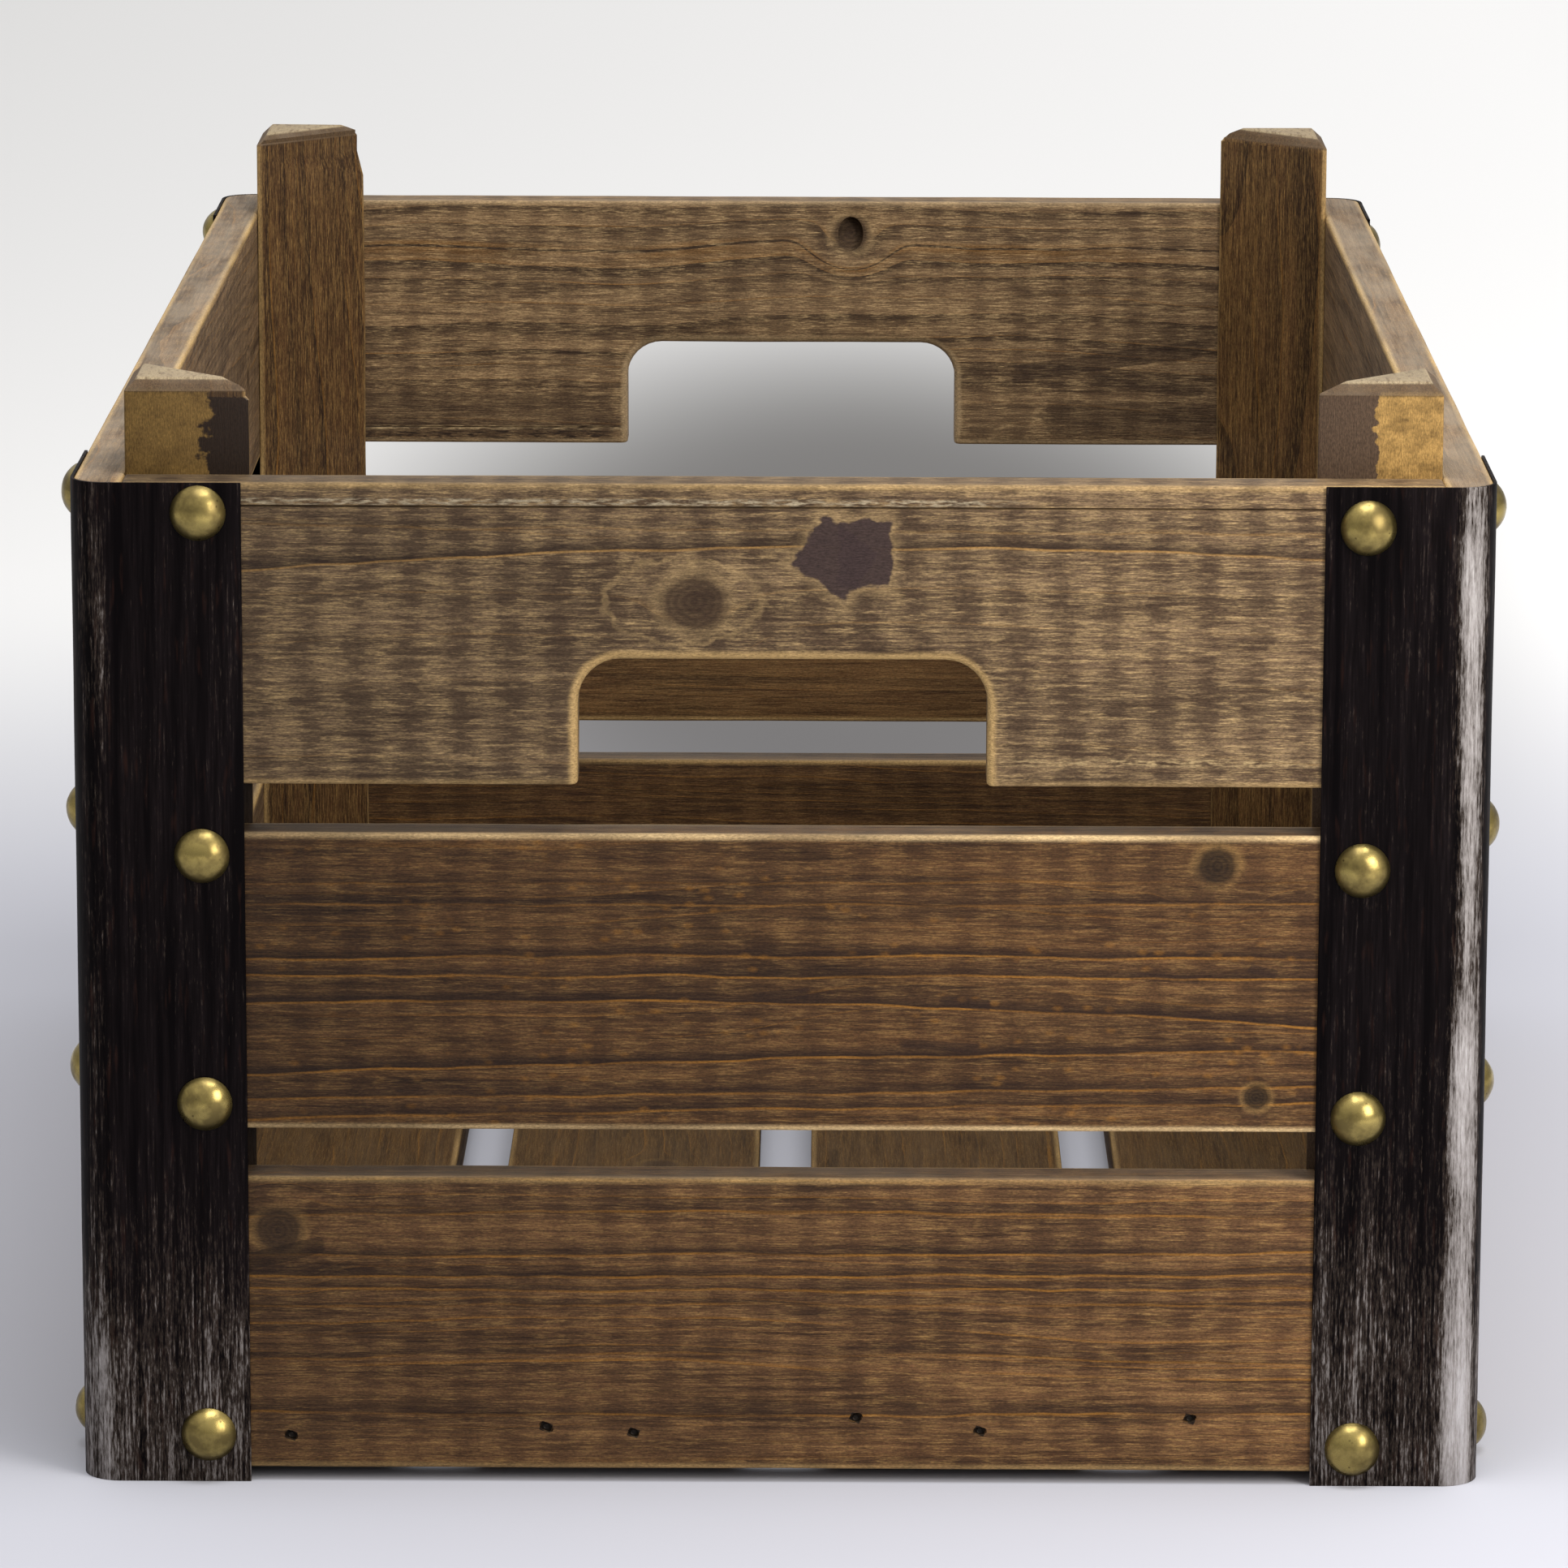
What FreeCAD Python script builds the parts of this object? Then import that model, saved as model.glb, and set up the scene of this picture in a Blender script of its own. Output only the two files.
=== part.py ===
import FreeCAD, Part
import math
import os
import Sketcher

# A slatted wooden apple crate: twelve slats on four three-cornered posts, a floor of four boards, and folded
# sheet-metal brackets held on the corners by dome-headed studs.
# The crate stands on z = 0 with its centre on the z axis. X runs across the two ends that have the hand holds,
# Y runs along the sides, and the front end faces -Y. Every size below is in millimetres.

SIZES = {
    # the envelope, over the faces of the corner brackets
    "crate_width": 400,
    "crate_depth": 600,
    # the slats: three on each wall, with an air gap between them
    "slat_height": 86,
    "slat_thick": 14,
    "slat_gap": 14,
    "slat_clear": 4,
    "slat_arris": 1,
    # the hand hold: a notch in the lower edge of each end's top slat
    "hand_width": 115,
    "hand_height": 36,
    "hand_radius": 12,
    # the corner posts: three-cornered stock with its square corner outwards
    "post_leg": 35,
    "post_blunt": 1.5,
    "post_height": 317,
    "post_chamfer": 3.5,
    # the floor: four boards laid front to back
    "board_width": 80,
    "board_thick": 14,
    "board_clear": 9.5,
    "board_corner": 37,
    # the corner brackets: folded sheet, as tall as the wall
    "sheet_gauge": 1,
    "flange_end": 48.5,
    "flange_side": 55,
    "bend_radius": 11,
    # the studs that hold bracket, slat and post together
    "dome_width": 16,
    "dome_rise": 5,
    "shank_width": 2.4,
    "shank_length": 27,
    "stud_inset": 36.5,
    "end_low": 12.5,
    "end_lower": 110,
    "end_upper": 182,
    "end_high": 280,
    "side_low": 10,
    "side_lower": 112.5,
    "side_upper": 188,
    "side_high": 280,
    "stud_lift": 1.5,
    # the brads through the end's bottom slats into the floor boards
    "brad_width": 1.8,
    "brad_length": 35,
    "brad_sink": 1,
    "brad_a": 140,
    "brad_b": 67,
    "brad_c": 42,
    "brad_d": 21.5,
    "brad_e": 57,
    "brad_f": 117,
}

# each wall: how far it is turned from the front wall, its rows of studs, and the lift at its -X and +X ends
WALLS = {
    "front": {"turn": 0, "rows": "end", "lifts": (1, -1)},
    "back": {"turn": 180, "rows": "end", "lifts": (-1, 1)},
    "left": {"turn": -90, "rows": "side", "lifts": (1, 1)},
    "right": {"turn": 90, "rows": "side", "lifts": (-1, -1)},
}
# each slat of a wall: its place in the stack and the rows of studs that pass through it
LEVELS = {
    "bottom": (0, ("low",)),
    "middle": (1, ("lower", "upper")),
    "top": (2, ("high",)),
}
ROWS = ("low", "lower", "upper", "high")
# each corner: the signs of its X and Y
CORNERS = {
    "front_left": (-1, -1),
    "front_right": (1, -1),
    "back_right": (1, 1),
    "back_left": (-1, 1),
}
# each floor board: its place from the left wall, its blunted side, and the brads that hold its ends
BOARDS = {
    "left": (0, -1, ("-sizes.brad_a",)),
    "centre_left": (1, 0, ("-sizes.brad_b", "-sizes.brad_c")),
    "centre_right": (2, 0, ("sizes.brad_d", "sizes.brad_e")),
    "right": (3, 1, ("sizes.brad_f",)),
}
BRADS = [place for _, _, board_brads in BOARDS.values() for place in board_brads]

GAUGE = SIZES["sheet_gauge"]
RIM = "(sizes.slat_clear + 3 * sizes.slat_height + 2 * sizes.slat_gap)"
WALL_INSET = "(sizes.sheet_gauge + sizes.slat_thick)"
INNER_WIDTH = f"(sizes.crate_width - 2 * {WALL_INSET})"
INNER_DEPTH = f"(sizes.crate_depth - 2 * {WALL_INSET})"
INNER_BEND = "(sizes.bend_radius - sizes.sheet_gauge)"
BOARD_MIDDLE = "(sizes.board_clear + sizes.board_thick / 2)"

doc = FreeCAD.newDocument("apple_crate")
sheet = doc.addObject("Spreadsheet::Sheet", "sizes")
for row, (alias, size) in enumerate(SIZES.items(), start=1):
    sheet.set(f"A{row}", alias)
    sheet.set(f"B{row}", str(size))
    sheet.setAlias(f"B{row}", alias)
doc.recompute()
subparts = []


def start_body(label, place, turn=0):
    """A named body at a place given as three expressions, turned about Z."""
    body = doc.addObject("PartDesign::Body", label)
    body.Label = label
    body.Placement.Rotation = FreeCAD.Rotation(FreeCAD.Vector(0, 0, 1), turn)
    for axis, expression in zip("xyz", place):
        body.setExpression(f"Placement.Base.{axis}", expression)
    subparts.append(body)
    return body


def start_sketch(body, role, name):
    """An empty sketch on one of the body's own origin planes."""
    plane = next(item for item in body.Origin.OriginFeatures if item.Role == role)
    sketch = body.newObject("Sketcher::SketchObject", name)
    sketch.AttachmentSupport = [(plane, "")]
    sketch.MapMode = "FlatFace"
    return sketch


def pin_point(sketch, shape, end, place):
    """Ties one point of a sketch to its distance from the sketch's origin, along both axes."""
    for kind, expression in zip(("DistanceX", "DistanceY"), place):
        number = sketch.addConstraint(Sketcher.Constraint(kind, -1, 1, shape, end, 1.0))
        sketch.setExpression(f"Constraints[{number}]", expression)


def draw_outline(sketch, corners):
    """A closed outline of straight edges through corners given as pairs of expressions."""
    first = sketch.GeometryCount
    count = len(corners)
    angles = [first + i * math.tau / count for i in range(count)]
    ring = [FreeCAD.Vector(first + math.cos(angle), math.sin(angle), 0) for angle in angles]
    for i in range(count):
        sketch.addGeometry(Part.LineSegment(ring[i], ring[(i + 1) % count]), False)
    for i in range(count):
        sketch.addConstraint(Sketcher.Constraint("Coincident", first + i, 2, first + (i + 1) % count, 1))
    for i, corner in enumerate(corners):
        pin_point(sketch, first + i, 1, corner)


def draw_holes(sketch, centres, width):
    """Circles of one width about centres given as pairs of expressions."""
    for number, centre in enumerate(centres):
        circle = Part.Circle(FreeCAD.Vector(number, 0, 0), FreeCAD.Vector(0, 0, 1), 0.4)
        sketch.addGeometry(circle, False)
        pin_point(sketch, number, 3, centre)
        radius = sketch.addConstraint(Sketcher.Constraint("Radius", number, 0.4))
        sketch.setExpression(f"Constraints[{radius}]", f"{width} / 2")


def pad(body, sketch, length, reverse=False):
    """Material raised from a sketch."""
    feature = body.newObject("PartDesign::Pad", f"{body.Name}_pad")
    feature.Profile = sketch
    feature.Reversed = reverse
    feature.setExpression("Length", length)
    doc.recompute()
    return feature


def cut(body, sketch, name, depth=None, reverse=False):
    """Material removed under a sketch: to a depth, or right through both ways when none is given."""
    before = body.Shape.Volume
    feature = body.newObject("PartDesign::Pocket", f"{body.Name}_{name}")
    feature.Profile = sketch
    if depth is None:
        feature.Type = "ThroughAll"
        feature.SideType = "Symmetric"
    else:
        feature.Reversed = reverse
        feature.setExpression("Length", depth)
    doc.recompute()
    if body.Shape.Volume > before - 1:
        raise RuntimeError(f"{feature.Name} removes nothing")
    return feature


def soften(body, kind, name, edges, size_name, size):
    """A fillet or chamfer on the named edges of the body's tip."""
    base = body.Tip
    feature = body.newObject(f"PartDesign::{kind}", f"{body.Name}_{name}")
    feature.Base = (base, edges)
    feature.setExpression(size_name, size)
    doc.recompute()
    return feature


def edges_where(body, test):
    """The names of the edges of the body's tip whose middle point and span pass a test."""
    names = []
    for number, edge in enumerate(body.Tip.Shape.Edges, start=1):
        middle = edge.valueAt((edge.FirstParameter + edge.LastParameter) / 2)
        span = edge.Vertexes[-1].Point - edge.Vertexes[0].Point
        if test(middle, span):
            names.append(f"Edge{number}")
    return names


def slat_base(level):
    """The height of a slat's lower edge."""
    return f"(sizes.slat_clear + {level} * (sizes.slat_height + sizes.slat_gap))"


def stud_height(wall, row, side):
    """The height of a stud of one row at one end of a wall: -1 and +1 are the ends at -X and +X."""
    lift = WALLS[wall]["lifts"][(side + 1) // 2]
    return f"(sizes.{WALLS[wall]['rows']}_{row} + {lift} * sizes.stud_lift)"


def wall_place(wall, height):
    """The middle of a wall's outer wooden face, at a height."""
    x_sign, y_sign = {"front": (0, -1), "back": (0, 1), "left": (-1, 0), "right": (1, 0)}[wall]
    return (
        f"{x_sign} * (sizes.crate_width / 2 - sizes.sheet_gauge)",
        f"{y_sign} * (sizes.crate_depth / 2 - sizes.sheet_gauge)",
        height,
    )


def make_slat(wall, level_name):
    """One slat, drawn as a front slat: outer face on y = 0, thickness towards +Y, lower edge on z = 0."""
    level, rows = LEVELS[level_name]
    is_end = wall in ("front", "back")
    body = start_body(f"{wall}_{level_name}_slat", wall_place(wall, slat_base(level)), WALLS[wall]["turn"])

    # the end slats fit between the side slats, which run the whole depth of the crate
    half_length = f"{INNER_WIDTH} / 2" if is_end else "(sizes.crate_depth / 2 - sizes.sheet_gauge)"
    board = start_sketch(body, "XZ_Plane", f"{body.Name}_outline")
    draw_outline(board, [
        (f"-{half_length}", "0"),
        (half_length, "0"),
        (half_length, "sizes.slat_height"),
        (f"-{half_length}", "sizes.slat_height"),
    ])
    pad(body, board, "sizes.slat_thick", reverse=True)
    if is_end:
        softened = edges_where(body, lambda middle, span: abs(span.x) > SIZES["crate_width"] / 2)
    else:
        # the outer corners follow the inside of the bracket's bend
        outer_corners = edges_where(
            body, lambda middle, span: abs(middle.y) < 1 and abs(span.z) > SIZES["slat_height"] / 2
        )
        soften(body, "Fillet", "corner", outer_corners, "Radius", INNER_BEND)
        softened = edges_where(body, lambda middle, span: abs(span.z) < 1)
    soften(body, "Fillet", "arris", softened, "Radius", "sizes.slat_arris")

    if is_end and level_name == "top":
        hand = start_sketch(body, "XZ_Plane", f"{body.Name}_hand_outline")
        draw_outline(hand, [
            ("-sizes.hand_width / 2", "-sizes.slat_arris"),
            ("sizes.hand_width / 2", "-sizes.slat_arris"),
            ("sizes.hand_width / 2", "sizes.hand_height"),
            ("-sizes.hand_width / 2", "sizes.hand_height"),
        ])
        cut(body, hand, "hand_hold")
        upper_corners = edges_where(
            body,
            lambda middle, span: abs(span.y) > SIZES["slat_thick"] / 2
            and abs(abs(middle.x) - SIZES["hand_width"] / 2) < 1
            and abs(middle.z - SIZES["hand_height"]) < 1,
        )
        soften(body, "Fillet", "hand_corner", upper_corners, "Radius", "sizes.hand_radius")

    # a clearance hole for each stud's shank
    reach = "(sizes.crate_width / 2 - sizes.stud_inset)" if is_end else "(sizes.crate_depth / 2 - sizes.stud_inset)"
    centres = []
    for side in (-1, 1):
        for row in rows:
            centres.append((f"{side} * {reach}", f"{stud_height(wall, row, side)} - {slat_base(level)}"))
    holes = start_sketch(body, "XZ_Plane", f"{body.Name}_stud_holes")
    draw_holes(holes, centres, "sizes.shank_width")
    cut(body, holes, "stud_cut")

    if is_end and level_name == "bottom":
        # the back slat is a turned front slat, so its brads are mirrored
        way = 1 if wall == "front" else -1
        brad_centres = [(f"{way} * ({place})", f"{BOARD_MIDDLE} - sizes.slat_clear") for place in BRADS]
        brad_holes = start_sketch(body, "XZ_Plane", f"{body.Name}_brad_holes")
        draw_holes(brad_holes, brad_centres, "sizes.brad_width")
        cut(body, brad_holes, "brad_cut")


def make_post(corner):
    """One corner post, drawn with its square corner on the body's own z axis."""
    x_sign, y_sign = CORNERS[corner]
    place = (f"{x_sign} * {INNER_WIDTH} / 2", f"{y_sign} * {INNER_DEPTH} / 2", "0")
    body = start_body(f"{corner}_post", place)
    x_way = -x_sign
    y_way = -y_sign
    sharp_leg = "(sizes.post_leg + sizes.post_blunt)"
    section = start_sketch(body, "XY_Plane", f"{body.Name}_section")
    draw_outline(section, [("0", "0"), (f"{x_way} * {sharp_leg}", "0"), ("0", f"{y_way} * {sharp_leg}")])
    pad(body, section, "sizes.post_height")
    top_edges = edges_where(body, lambda middle, span: middle.z > SIZES["post_height"] - 1)
    soften(body, "Chamfer", "top_chamfer", top_edges, "Size", "sizes.post_chamfer")
    tips = start_sketch(body, "XY_Plane", f"{body.Name}_tips")
    for x, y in (("sizes.post_leg", "-sizes.post_blunt"), ("-sizes.post_blunt", "sizes.post_leg")):
        far_x = f"({x} + 3 * sizes.post_blunt)"
        far_y = f"({y} + 3 * sizes.post_blunt)"
        draw_outline(tips, [
            (f"{x_way} * ({x})", f"{y_way} * ({y})"),
            (f"{x_way} * {far_x}", f"{y_way} * ({y})"),
            (f"{x_way} * {far_x}", f"{y_way} * {far_y}"),
            (f"{x_way} * ({x})", f"{y_way} * {far_y}"),
        ])
    cut(body, tips, "blunted_tips")

    # pilot holes for the studs of both walls that meet here
    end_wall = "front" if y_sign < 0 else "back"
    side_wall = "left" if x_sign < 0 else "right"
    depth = f"(sizes.shank_length - {WALL_INSET})"
    inward = f"(sizes.stud_inset - {WALL_INSET})"
    side = x_sign * (1 if end_wall == "front" else -1)
    end_centres = [(f"{x_way} * {inward}", stud_height(end_wall, row, side)) for row in ROWS]
    end_holes = start_sketch(body, "XZ_Plane", f"{body.Name}_end_holes")
    draw_holes(end_holes, end_centres, "sizes.shank_width")
    cut(body, end_holes, "end_pilots", depth, reverse=y_way < 0)
    side_centres = [(f"{y_way} * {inward}", stud_height(side_wall, row, 1)) for row in ROWS]
    side_holes = start_sketch(body, "YZ_Plane", f"{body.Name}_side_holes")
    draw_holes(side_holes, side_centres, "sizes.shank_width")
    cut(body, side_holes, "side_pilots", depth, reverse=x_way > 0)


def make_bracket(corner):
    """One folded bracket, drawn with its outer corner on the body's own z axis."""
    x_sign, y_sign = CORNERS[corner]
    place = (f"{x_sign} * sizes.crate_width / 2", f"{y_sign} * sizes.crate_depth / 2", "0")
    body = start_body(f"{corner}_bracket", place)
    x_way = -x_sign
    y_way = -y_sign
    section = start_sketch(body, "XY_Plane", f"{body.Name}_section")
    draw_outline(section, [
        ("0", "0"),
        (f"{x_way} * sizes.flange_end", "0"),
        (f"{x_way} * sizes.flange_end", f"{y_way} * sizes.sheet_gauge"),
        (f"{x_way} * sizes.sheet_gauge", f"{y_way} * sizes.sheet_gauge"),
        (f"{x_way} * sizes.sheet_gauge", f"{y_way} * sizes.flange_side"),
        ("0", f"{y_way} * sizes.flange_side"),
    ])
    pad(body, section, RIM)
    outer_corner = edges_where(body, lambda middle, span: math.hypot(middle.x, middle.y) < 0.1)
    soften(body, "Fillet", "outer_bend", outer_corner, "Radius", "sizes.bend_radius")
    inner_corner = edges_where(
        body, lambda middle, span: math.hypot(middle.x - x_way * GAUGE, middle.y - y_way * GAUGE) < 0.1
    )
    soften(body, "Fillet", "inner_bend", inner_corner, "Radius", INNER_BEND)
    end_wall = "front" if y_sign < 0 else "back"
    side_wall = "left" if x_sign < 0 else "right"
    side = x_sign * (1 if end_wall == "front" else -1)
    end_centres = [(f"{x_way} * sizes.stud_inset", stud_height(end_wall, row, side)) for row in ROWS]
    end_holes = start_sketch(body, "XZ_Plane", f"{body.Name}_end_holes")
    draw_holes(end_holes, end_centres, "sizes.shank_width")
    cut(body, end_holes, "end_cut", "2 * sizes.sheet_gauge", reverse=y_way < 0)
    side_centres = [(f"{y_way} * sizes.stud_inset", stud_height(side_wall, row, 1)) for row in ROWS]
    side_holes = start_sketch(body, "YZ_Plane", f"{body.Name}_side_holes")
    draw_holes(side_holes, side_centres, "sizes.shank_width")
    cut(body, side_holes, "side_cut", "2 * sizes.sheet_gauge", reverse=x_way > 0)


def make_floor_board(name):
    """One floor board, drawn from the front wall's inner face; an outer board is blunted to clear the posts."""
    number, blunt_side, board_brads = BOARDS[name]
    spacing = f"(({INNER_WIDTH} - sizes.board_width) / 3)"
    left_edge = f"-{INNER_WIDTH} / 2 + {number} * {spacing}"
    place = (f"{left_edge} + sizes.board_width / 2", f"-{INNER_DEPTH} / 2", "sizes.board_clear")
    body = start_body(f"floor_board_{name}", place)
    half = "sizes.board_width / 2"
    plain = [(f"-{half}", "0"), (half, "0"), (half, INNER_DEPTH), (f"-{half}", INNER_DEPTH)]
    if blunt_side < 0:
        plain[3:] = [(f"-{half} + sizes.board_corner", INNER_DEPTH),
                     (f"-{half}", f"{INNER_DEPTH} - sizes.board_corner")]
        plain[:1] = [(f"-{half}", "sizes.board_corner"), (f"-{half} + sizes.board_corner", "0")]
    if blunt_side > 0:
        plain[1:3] = [(f"{half} - sizes.board_corner", "0"), (half, "sizes.board_corner"),
                      (half, f"{INNER_DEPTH} - sizes.board_corner"),
                      (f"{half} - sizes.board_corner", INNER_DEPTH)]
    outline = start_sketch(body, "XY_Plane", f"{body.Name}_outline")
    draw_outline(outline, plain)
    pad(body, outline, "sizes.board_thick")

    # pilot holes for the brads in both end grains
    depth = f"(sizes.brad_length + sizes.brad_sink - sizes.slat_thick)"
    centres = [(f"({brad}) - ({place[0]})", "sizes.board_thick / 2") for brad in board_brads]
    front_holes = start_sketch(body, "XZ_Plane", f"{body.Name}_front_holes")
    draw_holes(front_holes, centres, "sizes.brad_width")
    cut(body, front_holes, "front_pilots", depth, reverse=False)
    back_holes = start_sketch(body, "XZ_Plane", f"{body.Name}_back_holes")
    back_holes.setExpression("AttachmentOffset.Base.z", f"-{INNER_DEPTH}")
    draw_holes(back_holes, centres, "sizes.brad_width")
    cut(body, back_holes, "back_pilots", depth, reverse=True)


def make_stud_pattern():
    """The stud that every group repeats: a dome with its rim on z = 0, and its shank below."""
    reach = "(sizes.dome_width / 2)"
    sphere_radius = f"(({reach} * {reach} + sizes.dome_rise * sizes.dome_rise) / (2 * sizes.dome_rise))"
    sphere = doc.addObject("Part::Sphere", "dome_sphere")
    sphere.setExpression("Radius", sphere_radius)
    sphere.setExpression("Placement.Base.z", f"sizes.dome_rise - {sphere_radius}")
    block = doc.addObject("Part::Cylinder", "dome_block")
    block.setExpression("Radius", "sizes.dome_width")
    block.setExpression("Height", "sizes.dome_width")
    dome = doc.addObject("Part::Common", "dome")
    dome.Base = sphere
    dome.Tool = block
    shank = doc.addObject("Part::Cylinder", "shank")
    shank.setExpression("Radius", "sizes.shank_width / 2")
    shank.setExpression("Height", "sizes.shank_length + sizes.dome_rise / 2")
    shank.setExpression("Placement.Base.z", "-sizes.shank_length")
    stud = doc.addObject("Part::Fuse", "stud_pattern")
    stud.Base = dome
    stud.Tool = shank
    return stud


def make_brad_pattern():
    """The brad that both rows repeat, with its head end on z = 0 and its length below."""
    brad = doc.addObject("Part::Cylinder", "brad_pattern")
    brad.setExpression("Radius", "sizes.brad_width / 2")
    brad.setExpression("Height", "sizes.brad_length")
    brad.setExpression("Placement.Base.z", "-sizes.brad_length")
    return brad


def make_group(label, pattern, spots):
    """Identical fasteners as one compound; each spot is a place and the outward way its head faces."""
    links = []
    for number, (place, outward) in enumerate(spots, start=1):
        link = doc.addObject("App::Link", f"{label}_{number}")
        link.LinkedObject = pattern
        link.LinkTransform = True
        link.Placement.Rotation = FreeCAD.Rotation(FreeCAD.Vector(0, 0, 1), FreeCAD.Vector(*outward))
        for axis, expression in zip("xyz", place):
            link.setExpression(f"Placement.Base.{axis}", expression)
        links.append(link)
    group = doc.addObject("Part::Compound", label)
    group.Links = links
    group.Label = label
    subparts.append(group)


def make_studs(corner, pattern):
    """The eight studs of one corner: four through each flange of its bracket."""
    x_sign, y_sign = CORNERS[corner]
    end_wall = "front" if y_sign < 0 else "back"
    side_wall = "left" if x_sign < 0 else "right"
    side = x_sign * (1 if end_wall == "front" else -1)
    spots = []
    for row in ROWS:
        end_x = f"{x_sign} * (sizes.crate_width / 2 - sizes.stud_inset)"
        end_place = (end_x, f"{y_sign} * sizes.crate_depth / 2", stud_height(end_wall, row, side))
        spots.append((end_place, (0, y_sign, 0)))
        side_y = f"{y_sign} * (sizes.crate_depth / 2 - sizes.stud_inset)"
        side_place = (f"{x_sign} * sizes.crate_width / 2", side_y, stud_height(side_wall, row, 1))
        spots.append((side_place, (x_sign, 0, 0)))
    make_group(f"{corner}_studs", pattern, spots)


def make_brads(wall, pattern):
    """The six brads through the bottom slat of one end."""
    y_sign = -1 if wall == "front" else 1
    y = f"{y_sign} * (sizes.crate_depth / 2 - sizes.sheet_gauge - sizes.brad_sink)"
    spots = [((place, y, BOARD_MIDDLE), (0, y_sign, 0)) for place in BRADS]
    make_group(f"{wall}_floor_brads", pattern, spots)


for wall in WALLS:
    for level_name in LEVELS:
        make_slat(wall, level_name)
for corner in CORNERS:
    make_post(corner)
    make_bracket(corner)
for name in BOARDS:
    make_floor_board(name)
stud_pattern = make_stud_pattern()
for corner in CORNERS:
    make_studs(corner, stud_pattern)
brad_pattern = make_brad_pattern()
for wall in ("front", "back"):
    make_brads(wall, brad_pattern)

doc.recompute()
failed = [item.Name for item in doc.Objects if {"Invalid", "Error"} & set(item.State)]
if failed:
    raise RuntimeError(f"failed objects: {failed}")
for subpart in subparts:
    if subpart.Shape.isNull() or not subpart.Shape.isValid():
        raise RuntimeError(f"{subpart.Label} has no valid shape")

os.makedirs("parts", exist_ok=True)
for subpart in subparts:
    subpart.Shape.exportStep(f"parts/{subpart.Label}.step")
    box = subpart.Shape.BoundBox
    print(f"{subpart.Label}: {len(subpart.Shape.Solids)} solids, {subpart.Shape.Volume:.0f} mm3,",
          f"x {box.XMin:.1f} to {box.XMax:.1f}, y {box.YMin:.1f} to {box.YMax:.1f},",
          f"z {box.ZMin:.1f} to {box.ZMax:.1f}")
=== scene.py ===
# %% [markdown]
# # A wooden apple crate with iron corners
# An orchard crate for apples: twelve pine slats and four floor boards, stained brown,
# four three-cornered posts that stand up past the rim, four painted sheet corners, and
# brass dome nails that hold the corners on. The CAD model is the fixed frame. Each plain
# CAD part is replaced here by a modelled one of the same size in the same place.

# %% Load the CAD frame and keep its box
import math
import random

import bmesh
import bpy
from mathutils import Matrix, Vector


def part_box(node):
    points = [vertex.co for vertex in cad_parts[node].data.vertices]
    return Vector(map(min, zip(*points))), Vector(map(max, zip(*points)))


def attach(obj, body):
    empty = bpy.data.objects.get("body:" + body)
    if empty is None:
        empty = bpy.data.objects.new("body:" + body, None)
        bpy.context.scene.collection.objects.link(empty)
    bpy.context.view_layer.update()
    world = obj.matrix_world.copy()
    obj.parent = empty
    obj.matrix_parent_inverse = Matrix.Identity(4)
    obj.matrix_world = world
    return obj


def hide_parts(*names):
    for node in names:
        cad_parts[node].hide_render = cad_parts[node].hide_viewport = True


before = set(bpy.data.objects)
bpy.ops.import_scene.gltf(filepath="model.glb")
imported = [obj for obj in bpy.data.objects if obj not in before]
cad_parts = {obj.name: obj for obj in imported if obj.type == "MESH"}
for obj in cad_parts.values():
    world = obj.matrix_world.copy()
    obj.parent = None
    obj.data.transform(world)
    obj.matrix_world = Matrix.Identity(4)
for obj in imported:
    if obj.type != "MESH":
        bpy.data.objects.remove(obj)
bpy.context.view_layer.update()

MM = 0.001

# %% [markdown]
# ## Camera
# The crate is seen from in front and a little above, with a long lens from 2.3 m away, so
# that its sides run in only gently. The angles came from solving the perspective of the
# rim, the slats and the iron corners. A long lens keeps upright edges almost parallel.

# %% Place the camera
eye = bpy.data.cameras.new("studio_camera")
eye.lens = 183.54
eye.sensor_width = 36.0
eye.clip_end = 60.0
camera = bpy.data.objects.new("studio_camera", eye)
bpy.context.scene.collection.objects.link(camera)
camera.location = (0.01009, -2.49903, 0.66911)
camera.rotation_euler = [math.radians(a) for a in (78.0784, -0.1727, 0.2872)]
bpy.context.scene.camera = camera
bpy.context.scene.view_settings.view_transform = "Standard"
print("camera", [round(v, 3) for v in camera.location], "lens", eye.lens)

# %% [markdown]
# ## Helpers for the bench
# A maker clears the bench, lays down a block, marks the faces to work on and then cuts.
# The helpers below do the same: nothing stays selected, a block is added at its size and
# place, and faces or edges are picked by where they are. What repeats is copied with its
# own mesh, and pieces that are one part in the CAD are joined.

# %% Clear the bench, add a block, pick by place
AXES = "XYZ"


def clear_bench():
    if bpy.context.object and bpy.context.object.mode != "OBJECT":
        bpy.ops.object.mode_set(mode="OBJECT")
    bpy.ops.object.select_all(action="DESELECT")


def take_up(*pieces):
    """Select these pieces and nothing else, and work on the first."""
    clear_bench()
    for piece in pieces:
        piece.select_set(True)
    bpy.context.view_layer.objects.active = pieces[0]


def open_up(piece):
    """Go into edit mode on the piece."""
    bpy.context.view_layer.objects.active = piece
    if piece.mode != "EDIT":
        bpy.ops.object.mode_set(mode="EDIT")


def settle(piece, name):
    """Put the object at the origin, unturned and unscaled, with its place in its mesh."""
    take_up(piece)
    bpy.ops.object.transform_apply(location=True, rotation=True, scale=True)
    piece.name = piece.data.name = name
    return piece


def copied(pattern):
    """Copy a piece with its own mesh."""
    copy = pattern.copy()
    copy.data = pattern.data.copy()
    bpy.context.scene.collection.objects.link(copy)
    return copy


def joined(pieces, name):
    take_up(*pieces)
    bpy.ops.object.transform_apply(location=True, rotation=True, scale=True)
    bpy.ops.object.join()
    return settle(bpy.context.object, name)


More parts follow.
